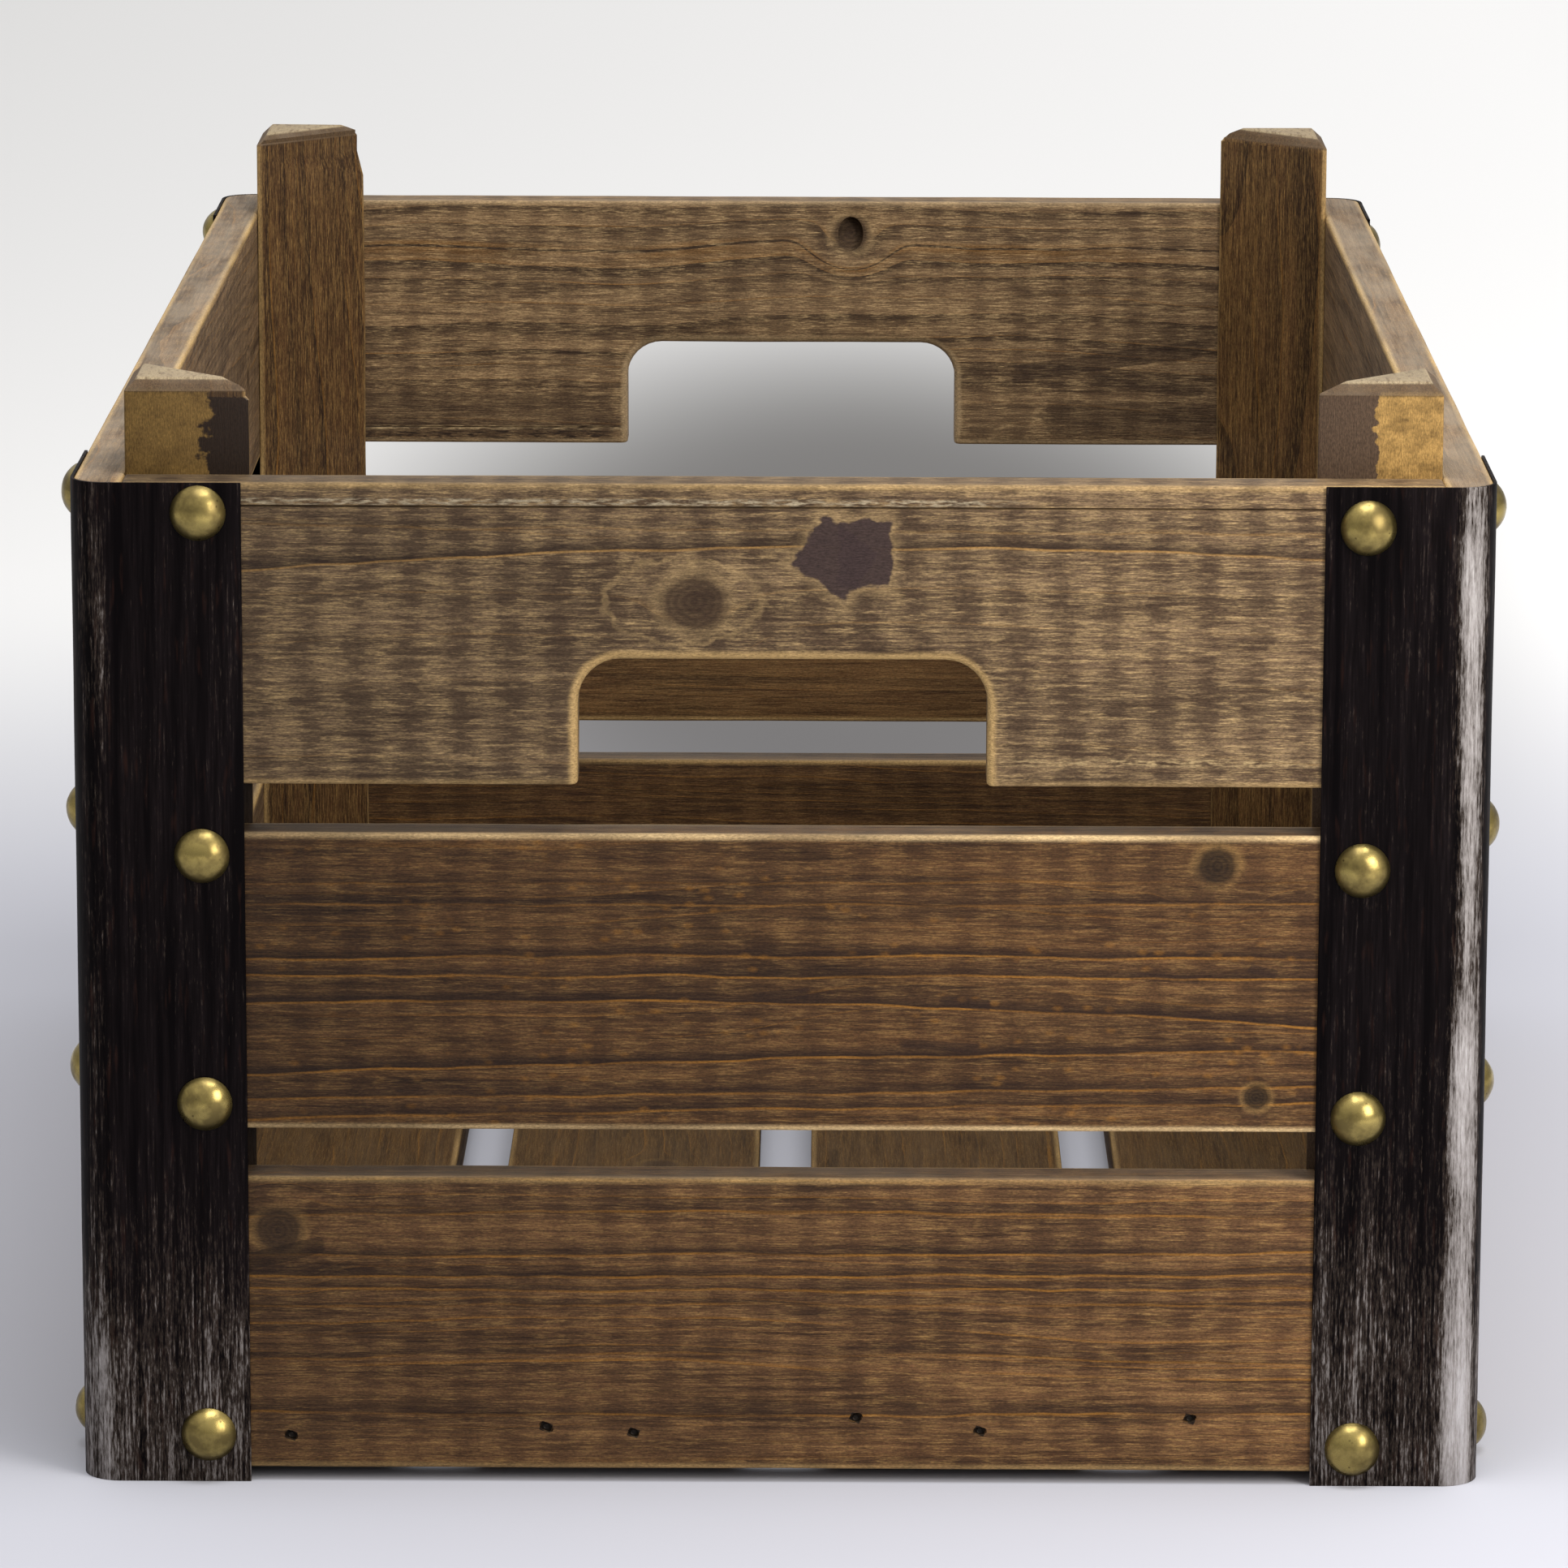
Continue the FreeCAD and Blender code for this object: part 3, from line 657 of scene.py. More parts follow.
# %% Front slat finishes
# All in millimetres from the board's middle. A knot is its place, its radius and the two
# radii of its pale halo. A growth line is its height at the left end, the middle and the
# right end, and its strength. A stain is its place, length, height, turn, colour and
# strength. A rough row is its height, half its width, its two ends and its colour.
BRUISE, NAIL_RUST = "#241813", "#0b0806"
low, high = front_slats["bottom"][1:]
bottom_middle = (low.z + high.z) / 2 / MM
# The front slats carry a painted light falloff, darker to the left and lighter to the right.
front_looks = {
    "top": dict(
        name="stained_pine_rough_planed", seed=1.0, ring=13.0, bend=7.0, chatter=0.6,
        flecks=0.72, lines=0.3, bands=0.3, rub=0.4, painted_light_falloff=0.36, hand_hold=True,
        knots=((-24.8, 9.7, 8.6, 22.0, 12.0),),
        growth=((15.0, 25.0, 20.0, 0.8), (31, 30, 29, 0.3)),
        stains=((14.5, 22.0, 19, 17, 35, PINE["torn"], 0.97),
                (23.0, 23.5, 15, 19, 0, PINE["torn"], 0.97)),
        rough_rows=((37.8, 1.3, -185, 60, "#93866f"), (-36, 1.6, 62, 150, "#8f7a58")),
        colours={"deep": "#34261b", "mid": "#574434", "light": "#7b664c",
                 "fleck": "#a1875e", "dust_and_sheen": "#5b4c3b", "ring_line": "#987442"}),
    "middle": dict(
        name="stained_pine_wide_rings", seed=2.0, ring=9.0, bend=8.0, chatter=0.3,
        flecks=0.35, lines=0.3, bands=0.4, rub=0.75, specks=0.3, painted_light_falloff=0.44,
        knots=((122.7, 34.5, 6.0, 0, 0), (134.6, -32.9, 3.8, 0, 0)),
        growth=((22.0, 22.5, 24.0, 0.5), (6.0, 8.0, 7.5, 0.9), (1.5, 2.0, 2.0, 0.8),
                (-8.0, -6.0, -15.0, 1.0), (-29.0, -22.0, -19.0, 0.95),
                (-35.0, -32.0, -29.5, 0.75), (-41.5, -36.5, -34.5, 0.7), (28.0, 29, 30, 0.3)),
        stains=((0, -3.5, 16, 3, -6, BRUISE, 0.6), (52, -5.5, 14, 3, 6, BRUISE, 0.6),
                (45, -18, 22, 2.6, 4, BRUISE, 0.55), (108, 2.0, 20, 2.2, 4, BRUISE, 0.5),
                (136, 4.0, 8, 2.6, 14, BRUISE, 0.6)),
        colours={"deep": "#1d120b", "mid": "#422a18", "light": "#67492c", "bare": "#d0b384",
                 "ring_line": "#855a22", "knot": "#170f0a", "dust_and_sheen": "#6a5c4a"}),
    "bottom": dict(
        name="stained_pine_close_rings", seed=3.0, ring=4.2, bend=4.0, chatter=0.3,
        flecks=0.5, lines=0.5, bands=0.5, rub=0.4, painted_light_falloff=0.46,
        knots=((-143, 27, 6.5, 0, 0),),
        growth=((30, 33, 31, 0.5), (20, 20.5, 22, 0.7), (14, 14, 16, 0.8),
                (10.5, 10, 12, 0.6), (4, 6, 5, 0.4), (-26, -27, -25, 0.6), (-12, -9, -13, 0.4)),
        stains=[(-143, 20, 26, 5, -14, "#20140d", 0.6)]
        + [(x, z - bottom_middle, 3.2, 2.6, 20, NAIL_RUST, 0.9) for x, z in zip(BRAD_X, BRAD_Z)],
        colours={"deep": "#22150d", "mid": "#4c321f", "light": "#785738"}),
}
finish_slats("front", front_slats, front_looks)

# %% [markdown]
# ## The back slats
# The back end is built like the front. Its inner faces are what the eye meets over the
# rim: the top slat has lost a knot near its upper edge, which leaves an oval socket about
# 4 mm deep, and dark latewood figure runs out to the right below it. The socket is cut
# with a tilted oval plug, and its lip is dished.

# %% Back slats
back_slats = {level: end_slat(f"back_{level}_slat", level == "top") for level in LEVELS}
SOCKET = (20.8 * MM, 278.6 * MM)
SOCKET_RADIUS = 5.4 * MM
slat, low, high = back_slats["top"]
dish(slat, SOCKET[0], SOCKET[1], 8.5 * MM, 0.7 * MM, low.y)
clear_bench()
bpy.ops.mesh.primitive_cylinder_add(vertices=24, radius=SOCKET_RADIUS, depth=9 * MM,
                                    location=(SOCKET[0], low.y, SOCKET[1]),
                                    rotation=(math.radians(82), 0, math.radians(7)))
plug = bpy.context.object
plug.scale = (0.82, 1.12, 1)
settle(plug, "knot_socket_plug")
cut_with(slat, plug)
ease_edges(slat, 0.5 * MM, lambda m, way: near(m.y, low.y, 0.8 * MM)
           and math.hypot(m.x - SOCKET[0], m.z - SOCKET[1]) < SOCKET_RADIUS * 1.4)
groove(slat, low.z + 5.6 * MM, 0.7 * MM, 0.3 * MM, low.x + 2 * MM, -60 * MM, low.y)
slat, low, high = back_slats["bottom"]
BACK_BRAD_Z = (16.5,) * len(BRAD_X)
nail_mouths(slat, high.y, list(zip(BRAD_X, BACK_BRAD_Z)))
for slat, low, high in back_slats.values():
    weather(slat)

# %% Back slat finishes
back_looks = {
    "top": dict(
        name="stained_pine_back_rail", seed=4.0, ring=7.5, bend=6.0, chatter=0.2,
        flecks=0.75, lines=0.45, bands=0.85, rub=0.7, hand_hold=True,
        knots=((20.8, 31.6, 6.4, 0, 0),),
        stains=((112, -13, 66, 6, -8, "#2a1e18", 0.6), (125, -22, 40, 4, 6, "#2a1e18", 0.5),
                (-125, -33, 120, 15, 0, "#35271c", 0.45), (130, -34, 80, 12, 0, "#35271c", 0.45)),
        rough_rows=((-40, 2.6, -185, -60, "#2c211a"), (-37.6, 1.0, -185, -60, "#a08a66")),
        colours={"deep": "#2c2018", "mid": "#644d37", "light": "#8d7252",
                 "fleck": "#b2966c", "bare": "#a18a68"}),
    "middle": dict(
        name="stained_pine_even_rings", seed=5.0, ring=6.0, bend=6.0, flecks=0.25,
        lines=0.45, bands=0.5, rub=0.8, knots=((-60, 8, 6.0, 0, 0),),
        colours={"mid": "#553a23", "light": "#80603b", "fleck": "#a98857"}),
    "bottom": dict(
        name="stained_pine_plain_rings", seed=6.0, ring=5.0, bend=5.0, chatter=0.2,
        flecks=0.3, lines=0.5, bands=0.5, rub=0.6, stained_face=1,
        stains=[(x, z - bottom_middle, 3.2, 2.6, 20, NAIL_RUST, 0.9)
                for x, z in zip(BRAD_X, BACK_BRAD_Z)]),
}
finish_slats("back", back_slats, back_looks)

# %% [markdown]
# ## The side slats
# The side slats are 598 mm long and run past the end slats to the corners. Their outer
# upright edges are rounded to 10 mm so that the iron corner can wrap round them. They
# are made like the end slats, with that rounding first and the eased edges after it.

# %% Side slats
SIDE_STEP = 13 * MM
CORNER_ROUND = 10 * MM
FIRST_SIDE_SEED = 7
for row, side in enumerate(("left", "right")):
    for column, level in enumerate(LEVELS):
        node = f"{side}_{level}_slat"
        low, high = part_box(node)
        _, _, outer_x, _ = outward(low, high)
        slat = block(node + "_wood", low, high)
        pick(slat, "EDGE", lambda m, way: abs(way.z) > 0.9 and near(m.x, outer_x))
        bpy.ops.mesh.bevel(offset=CORNER_ROUND, segments=7, affect="EDGES")
        ease_edges(slat, EASED_EDGE)
        rule_lines(slat, "Y", spaced(low.y, high.y, SIDE_STEP))
        rule_lines(slat, "Z", spaced(low.z, high.z, END_STEP))
        weather(slat, 0.3)
        seed = FIRST_SIDE_SEED + row * len(LEVELS) + column
        chooser = random.Random(seed)
        knots = [(chooser.uniform(-220, 220), chooser.uniform(-30, 30),
                  chooser.uniform(4, 8), chooser.choice((0, 17.0)), 11.0)
                 for _ in range(chooser.choice((1, 2)))]
        pine = stained_pine(
            f"stained_pine_{side}_{level}", node, float(seed), along="Y",
            ring=chooser.uniform(5, 10), bend=7.0, chatter=chooser.choice((0.1, 0.35)),
            flecks=0.35, lines=0.5, bands=0.45, rub=0.8, knots=knots,
            # The pale layer on these upward faces is lighter than on the front slats: part dust,
            # part painted sheen.
            colours={"deep": "#3a2b20", "mid": "#6a5340", "light": "#8d7558",
                     "dust_and_sheen": "#9c8f7c"})
        finish_piece(slat, pine, node)

# %% [markdown]
# ## The corner posts
# A post is a square length of pine sawn along its diagonal, so it has two square faces
# against the slats and one broad sawn face towards the fruit. Its top is chamfered all
# round and its two thin edges are blunted. It is modelled that way: a block, one bisect
# along the diagonal that keeps the inner half, a flat bevel round the top, and two more
# bisects that take off the thin tips. Small chips are pushed into the top edges.

# %% Posts
POST_CHAMFER = 3.5 * MM
POST_BLUNT = 1.5 * MM


def saw_off(piece, spot, way):
    """Bisect with a plane, throw away the side that way points to, and close the cut."""
    open_up(piece)
    bpy.ops.mesh.select_all(action="SELECT")
    bpy.ops.mesh.bisect(plane_co=spot, plane_no=way, use_fill=True, clear_outer=True)


def corner_post(node, chips):
    low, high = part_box(node)
    sx, sy, outer_x, outer_y = outward(low, high)
    corner = Vector((outer_x, outer_y, 0))
    leg = (high.x - low.x) + POST_BLUNT
    far = corner - Vector((sx * leg, sy * leg, 0))
    post = block(node + "_wood", (min(corner.x, far.x), min(corner.y, far.y), low.z),
                 (max(corner.x, far.x), max(corner.y, far.y), high.z))
    saw_off(post, (corner.x - sx * leg, corner.y, 0), (-sx, -sy, 0))
    pick(post, "EDGE", lambda m, way: near(m.z, high.z) and abs(way.z) < 0.1)
    bpy.ops.mesh.bevel(offset=POST_CHAMFER, segments=1, affect="EDGES")
    saw_off(post, (corner.x - sx * (leg - POST_BLUNT), 0, 0), (-sx, 0, 0))
    saw_off(post, (0, corner.y - sy * (leg - POST_BLUNT), 0), (0, -sy, 0))
    bpy.ops.mesh.select_all(action="SELECT")
    bpy.ops.mesh.remove_doubles(threshold=0.005 * MM)
    ease_edges(post, 0.6 * MM, steps=2)
    rule_lines(post, "Z", spaced(low.z, high.z, 9 * MM)
               + [high.z - s * MM for s in (2, 3, 5, 6, 8)])
    for x, y, z, reach, push in chips:
        pick(post, "VERT", lambda co, way: (co - Vector((x, y, z)) * MM).length < reach * MM)
        bpy.ops.transform.translate(value=Vector(push) * MM)
    weather(post, 0.5)
    return post


print("post helpers ready")

# %% [markdown]
# ## Post finish
# Posts take the same stain, but their faces against the slats were never coated: above
# the front rim they show patches of bare tan wood where the stain ran out. The tops were
# sawn after staining and rubbed, so the flats are cream with dark pores.

# %% Post finishes and posts
def post_finish(node, seed, patch=None, **look):
    top_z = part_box(node)[1].z

    def tops_and_patch(add, tone, place):
        x, y, z = add("SeparateXYZ", place).node.outputs
        cloudy = {}
        for pattern, scale, shift, detail, roughness in (
                ("edge", (150, 150, 210), (seed, 0, seed), 3.0, 0.5),
                ("soil", (130, 130, 170), (0, 0, 0), 5.0, 0.65),
                ("pore", (900, 220, 220), (0, 0, 0), 3.0, 0.5)):
            spot = add("Mapping", {"Vector": place, "Scale": scale, "Location": shift})
            cloudy[pattern] = add("TexNoise", {"Vector": spot, "Scale": 1.0, "Detail": detail,
                                               "Roughness": roughness})
        if patch:
            start, end, colour, face_y, rest = patch
            ragged = add("Math.MULTIPLY_ADD", cloudy["edge"], 0.016, x)
            ragged = add("Math.SUBTRACT", ragged, 0.008)
            on = add("MapRange.SMOOTHSTEP", ragged, start - 0.0004, start + 0.0004)
            off = add("MapRange.SMOOTHSTEP", ragged, end - 0.0006, end + 0.0006, 1.0, 0.0)
            face = add("MapRange", y, face_y + 0.0004, face_y + 0.0012, 1.0, 0.0)
            for share in (off, face):
                on = add("Math.MULTIPLY", on, share)
            soil = add("MapRange", cloudy["soil"], 0.42, 0.68, 0.0, 0.75)
            bare = add("Mix.RGBA", soil, colour, "#4a371c")
            dark = add("Mix.RGBA", face, tone, rest)
            tone = add("Mix.RGBA", on, dark, bare)
        slope = add("MapRange.SMOOTHSTEP", z, top_z - 4.2 * MM, top_z - 3.4 * MM, 0.0, 0.75)
        tone = add("Mix.RGBA", slope, tone, "#4a3a29")
        pore = add("MapRange", cloudy["pore"], 0.5, 0.72)
        cream = add("Mix.RGBA", pore, "#97876b", "#66553f")
        flat = add("MapRange.SMOOTHSTEP", z, top_z - 0.9 * MM, top_z - 0.3 * MM)
        return add("Mix.RGBA", flat, tone, cream)

    return stained_pine(f"stained_pine_{node}", node, seed, along="Z", across="X",
                        bare_patch=tops_and_patch, **look)


front_post = dict(ring=7.0, chatter=0.3, flecks=0.5, lines=0.4, bands=0.7)
back_post = dict(ring=9.0, bend=16.0, flecks=0.5, bands=0.9)
post_looks = {
    "front_left_post": dict(front_post, seed=13.0,
                            patch=(-0.300, -0.1625, "#67502a", -0.285, "#20160f")),
    "front_right_post": dict(front_post, seed=14.0,
                             patch=(0.1665, 0.300, "#9f7e49", -0.285, "#4d3d30")),
    "back_left_post": dict(back_post, seed=15.0, lines=0.5,
                           colours={"mid": "#3a2515", "light": "#5c4127"}),
    "back_right_post": dict(back_post, seed=16.0, lines=0.4),
}
# Place in millimetres, reach and push of each chip in a post's top edges.
post_chips = {
    "front_left_post": ((-150.5, -285, 314, 3.0, (-1.0, 0.8, 0)),),
    "front_right_post": ((185, -285, 304, 2.2, (-0.9, 0.9, 0)),),
    "back_left_post": ((-150, 284, 311, 4.5, (-2.2, 0, -0.4)),
                       (-150, 284, 303, 3.0, (-1.4, 0, 0))),
    "back_right_post": ((150.5, 284, 315, 2.5, (0.8, 0, -0.6)),),
}
for node, look in post_looks.items():
    post = corner_post(node, post_chips[node])
    finish_piece(post, post_finish(node, **look), node)

# %% [markdown]
# ## The floor boards
# Four boards run front to back with gaps between them. The two outer boards are nipped
# at their corners to clear the posts, which is one diagonal bisect at each corner.

# %% Floor boards
BOARD_NIP = 37 * MM
for number, name in enumerate(("left", "centre_left", "centre_right", "right")):
    node = f"floor_board_{name}"
    low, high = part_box(node)
    board = block(node + "_wood", low, high)
    if name in ("left", "right"):
        sx, _, outer, _ = outward(low, high)
        for sy in (-1, 1):
            end = high.y if sy > 0 else low.y
            saw_off(board, (outer, end - sy * BOARD_NIP, 0), (sx, sy, 0))
    ease_edges(board, 0.8 * MM, steps=2)
    rule_lines(board, "Y", spaced(low.y, high.y, SIDE_STEP))
    rule_lines(board, "X", spaced(low.x, high.x, END_STEP))
    weather(board)
    pine = stained_pine(f"stained_pine_{node}", node, 17.0 + number, along="Y", across="X",
                        ring=5.0 + number, bend=5.0, flecks=0.35, lines=0.5, bands=0.45,
                        rub=0.5, knots=((60 - 90 * number, 8 * (number % 2), 6.0, 0, 0),),
                        colours={"deep": "#150c06", "mid": "#35220f", "light": "#5a3f1f",
                                 "fleck": "#7d6238", "dust_and_sheen": "#54422c"})
    finish_piece(board, pine, node)

# %% [markdown]
# ## The iron corners
# Each corner is one strip of 1 mm sheet folded round the upright edge: 48.5 mm along the
# end, an outer bend of 11 mm, then to 55 mm along the side. It is modelled as the smith
# folds it. A flat plate is spun a quarter turn about the bend line, the far edge is
# extruded along the side, and Solidify gives it its gauge. One corner is modelled, and
# the other three are mirrored copies with their faces turned outwards again.

# %% One folded sheet corner, then three mirrored copies
SHEET = 1.0 * MM
BEND = 11 * MM
low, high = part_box("front_left_bracket")
clear_bench()
bpy.ops.mesh.primitive_plane_add(
    size=1, location=((low.x + BEND + high.x) / 2, low.y, (low.z + high.z) / 2),
    rotation=(math.pi / 2, 0, 0))
plate = bpy.context.object
plate.scale = (high.x - low.x - BEND, high.z - low.z, 1)
settle(plate, "sheet_corner_pattern")
pick(plate, "EDGE", lambda m, way: abs(way.z) > 0.9 and near(m.x, low.x + BEND))
bpy.ops.mesh.spin(steps=9, angle=math.pi / 2, center=(low.x + BEND, low.y + BEND, 0),
                  axis=(0, 0, 1))
pick(plate, "EDGE", lambda m, way: abs(way.z) > 0.9 and near(m.x, low.x))
bpy.ops.mesh.extrude_region_move(
    TRANSFORM_OT_translate={"value": (0, high.y - low.y - BEND, 0)})
bpy.ops.mesh.select_all(action="SELECT")
bpy.ops.mesh.remove_doubles(threshold=0.01 * MM)
bpy.ops.mesh.normals_make_consistent(inside=False)
rule_lines(plate, "Z", spaced(low.z, high.z, 8 * MM))
rule_lines(plate, "X", spaced(low.x + BEND, high.x, 7 * MM))
rule_lines(plate, "Y", spaced(low.y + BEND, high.y, 7 * MM))
facing = pick(plate, "FACE", lambda m, way: near(m.y, low.y) and way.y > 0.5)
if facing:
    bpy.ops.mesh.select_all(action="SELECT")
    bpy.ops.mesh.flip_normals()
bpy.ops.object.mode_set(mode="OBJECT")
print("folded plate", [round(s / MM, 1) for s in plate.dimensions], "flipped", facing)

corner_sheets = {}
for node, sx, sy in (("front_left_bracket", 1, 1), ("front_right_bracket", -1, 1),
                     ("back_left_bracket", 1, -1), ("back_right_bracket", -1, -1)):
    sheet = copied(plate)
    sheet.scale = (sx, sy, 1)
    settle(sheet, node + "_sheet")
    if sx * sy < 0:
        bpy.ops.object.mode_set(mode="EDIT")
        bpy.ops.mesh.select_all(action="SELECT")
        bpy.ops.mesh.flip_normals()
    weather(sheet, 0.28)
    use_modifier(sheet, "SOLIDIFY", thickness=SHEET, offset=-1.0)
    ease_edges(sheet, 0.22 * MM, steps=2)
    corner_sheets[node] = sheet
bpy.data.objects.remove(plate)

# %% [markdown]
# ## Finish: brushed black paint over steel
# The sheet was painted black-brown with a dry brush drawn up and down, then rubbed, so it
# is full of fine upright streaks from black to rust brown and grey. Where hands and boxes
# rub it, on the bend and near the foot, the paint is thin and the steel shines through.
# The pale metal on the bend is also a painted highlight of the light from the right, so
# it is strongest on the front right corner. Paint is a smooth non-metal and steel is a
# metal, so the metallic value follows the wear.

# %% Brushed paint
# The pale metal on the bend is wear plus a painted highlight; these set where it begins round the
# bend.
BEND_X, BEND_Y = (0.1868, 0.1925), (0.2945, 0.2985)  # where the wear on the bend sets in


def brushed_paint(node, seed, bend_wear_and_highlight, foot_wear, foot_top=70, top_wear_and_highlight=0.0):
    material, add = new_finish(f"brushed_black_paint_{node}")
    sx, sy, _, _ = outward(*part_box(node))
    place = add("TexCoord").node.outputs["Object"]
    x, y, z = add("SeparateXYZ", place).node.outputs
    noise = {}
    for pattern, (location, scale, detail, roughness) in {
            "fine": ((seed, seed * 2, seed), (1500, 1500, 60), 4.0, 0.62),
            "broad": ((seed * 3, 0, seed), (260, 260, 9), 3.0, 0.5),
            "cloud": ((0, seed, seed * 2), (40, 40, 22), 3.0, 0.5),
            "rust": ((seed, 0, 0), (500, 500, 60), 2.0, 0.5),
            "grit": ((0, 0, 0), (1500, 1500, 260), 4.0, 0.7)}.items():
        spot = add("Mapping", {"Vector": place, "Location": location, "Scale": scale})
        noise[pattern] = add("TexNoise", {"Vector": spot, "Scale": 1.0, "Detail": detail,
                                          "Roughness": roughness})
    streak = add("MapRange", noise["fine"], 0.36, 0.68)
    wide = add("MapRange", noise["broad"], 0.38, 0.68)
    tone = add("Mix.RGBA", wide, "#040203", "#0b0707")
    part = add("Math.MULTIPLY", streak, wide)
    tone = add("Mix.RGBA", part, tone, "#1b1517")
    rust = add("MapRange", noise["rust"], 0.6, 0.75, 0.0, 0.4)
    tone = add("Mix.RGBA", rust, tone, "#2e1b15")

    # Wear and painted highlight on the bend: how far round the corner, measured by both x and y.
    round_x = add("MapRange.SMOOTHSTEP", x, *[sx * reach for reach in BEND_X])
    round_y = add("MapRange.SMOOTHSTEP", y, *[sy * reach for reach in BEND_Y])
    ridge = add("Math.MULTIPLY", round_x, round_y)
    patchy = add("MapRange", noise["cloud"], 0.35, 0.65, 0.6, 1.15)
    for share in (patchy, bend_wear_and_highlight):
        ridge = add("Math.MULTIPLY", ridge, share)
    foot = add("MapRange.SMOOTHSTEP", z, 0.004, foot_top * MM, foot_wear, 0.0)
    head = add("MapRange.SMOOTHSTEP", z, 0.24, 0.288, 0.0, top_wear_and_highlight)
    wear = add("Math.ADD", ridge, foot)
    headed = add("Math.MULTIPLY", head, round_x)
    wear = add("Math.ADD", wear, headed)
    for pattern, share in ((noise["cloud"], 0.5), (streak, 0.5), (noise["grit"], 1.6),
                           (noise["broad"], 0.8)):
        wear = add("Math.MULTIPLY_ADD", pattern, share, wear)
    thin = add("MapRange", wear, 1.9, 2.9, 0.0, 0.9)
    tone = add("Mix.RGBA", thin, tone, "#54483f")
    shine = add("MapRange", wear, 2.2, 3.5, 0.0, 1.0)
    tone = add("Mix.RGBA", shine, tone, "#bab6b6")
    metal = add("Math.MULTIPLY", shine, 0.55)
    gloss = add("MapRange", wear, 1.6, 2.7, 0.5, 0.36)
    bump = add("Bump", {"Strength": 0.4, "Distance": 0.08 * MM,
                        "Height": noise["fine"]})
    paint = add("BsdfPrincipled", {"Base Color": tone, "Metallic": metal, "Roughness": gloss,
                                   "Normal": bump, "Specular IOR Level": 0.035})
    add("OutputMaterial", {"Surface": paint})
    return material


# The front right corner gets much more pale metal on its bend and at its top: worn steel plus a
# painted highlight of the light from the right.
sheet_looks = {
    "front_left_bracket": dict(seed=21.0, bend_wear_and_highlight=0.3, foot_wear=0.5, foot_top=110),
    "front_right_bracket": dict(seed=22.0, bend_wear_and_highlight=1.1, foot_wear=0.48, foot_top=160,
                                top_wear_and_highlight=0.2),
    "back_left_bracket": dict(seed=23.0, bend_wear_and_highlight=0.5, foot_wear=0.4),
    "back_right_bracket": dict(seed=24.0, bend_wear_and_highlight=0.5, foot_wear=0.35),
}
for node, look in sheet_looks.items():
    paint = brushed_paint(node, **look)
    finish_piece(corner_sheets[node], paint, node)

# %% [markdown]
# ## The dome nails
# Thirty-two upholstery-style nails hold the corners on, four up each flange. The head is
# a thin pressed dome, 16 mm wide and 5 mm high. It is a cap cut from a sphere with one
# bisect; its rim is rolled with a bevel, and the shank is inset and extruded from the
# flat underside down to a point. One nail is modelled and copied, and each corner's
# eight are joined, because they are one part in the CAD.

# %% One nail
DOME_RADIUS = 8.0 * MM
DOME_RISE = 5.0 * MM
BALL = (DOME_RADIUS ** 2 + DOME_RISE ** 2) / (2 * DOME_RISE)
SHANK_RADIUS = 1.2 * MM
SHANK_LONG = 27 * MM
clear_bench()
bpy.ops.mesh.primitive_uv_sphere_add(segments=36, ring_count=32, radius=BALL,
                                     location=(0, 0, DOME_RISE - BALL))
nail = settle(bpy.context.object, "dome_nail_pattern")
saw_off(nail, (0, 0, 0), (0, 0, -1))
pick(nail, "FACE", lambda m, way: way.z < -0.9)
bpy.ops.mesh.inset(thickness=DOME_RADIUS - SHANK_RADIUS)
for share in (0.86, 0.14):
    bpy.ops.mesh.extrude_region_move(
        TRANSFORM_OT_translate={"value": (0, 0, -SHANK_LONG * share)})
bpy.ops.transform.resize(value=(0.15, 0.15, 1), center_override=(0, 0, -SHANK_LONG))
pick(nail, "EDGE", lambda m, way: near(m.z, 0, 0.01 * MM)
     and near(math.hypot(m.x, m.y), DOME_RADIUS, 0.2 * MM))
bpy.ops.mesh.bevel(offset=0.45 * MM, segments=3, affect="EDGES")
bpy.ops.object.mode_set(mode="OBJECT")
print("nail", [round(s / MM, 1) for s in nail.dimensions], "mm")

# %% Brass finish
# Brass-plated steel, aged: the plate is yellow, with olive-brown tarnish in soft patches
# and tiny dark pits where it has worn through.
antique_brass, add = new_finish("antique_brass_plate")
place = add("TexCoord").node.outputs["Object"]
patch = add("TexNoise", {"Vector": place, "Scale": 170.0, "Detail": 4.0, "Roughness": 0.6})
patch = add("MapRange", patch, 0.4, 0.62)
pits = add("TexVoronoi", {"Vector": place, "Scale": 420.0}).node.outputs["Distance"]
pits = add("MapRange", pits, 0.06, 0.2, 0.8, 0.0)
spare = add("TexNoise", {"Vector": place, "Scale": 260.0, "Detail": 1.0})
spare = add("MapRange", spare, 0.52, 0.62)
pits = add("Math.MULTIPLY", pits, spare)
tone = add("Mix.RGBA", patch, "#978650", "#6f613b")
tone = add("Mix.RGBA", pits, tone, "#3a2e1c")
gloss = add("MapRange", patch, 0.0, 1.0, 0.27, 0.38)
bump = add("Bump", {"Strength": 0.25, "Distance": 0.1 * MM, "Height": patch})
brass = add("BsdfPrincipled", {"Base Color": tone, "Metallic": 1.0, "Roughness": gloss,
                               "Normal": bump})
add("OutputMaterial", {"Surface": brass})
print("brass ready")

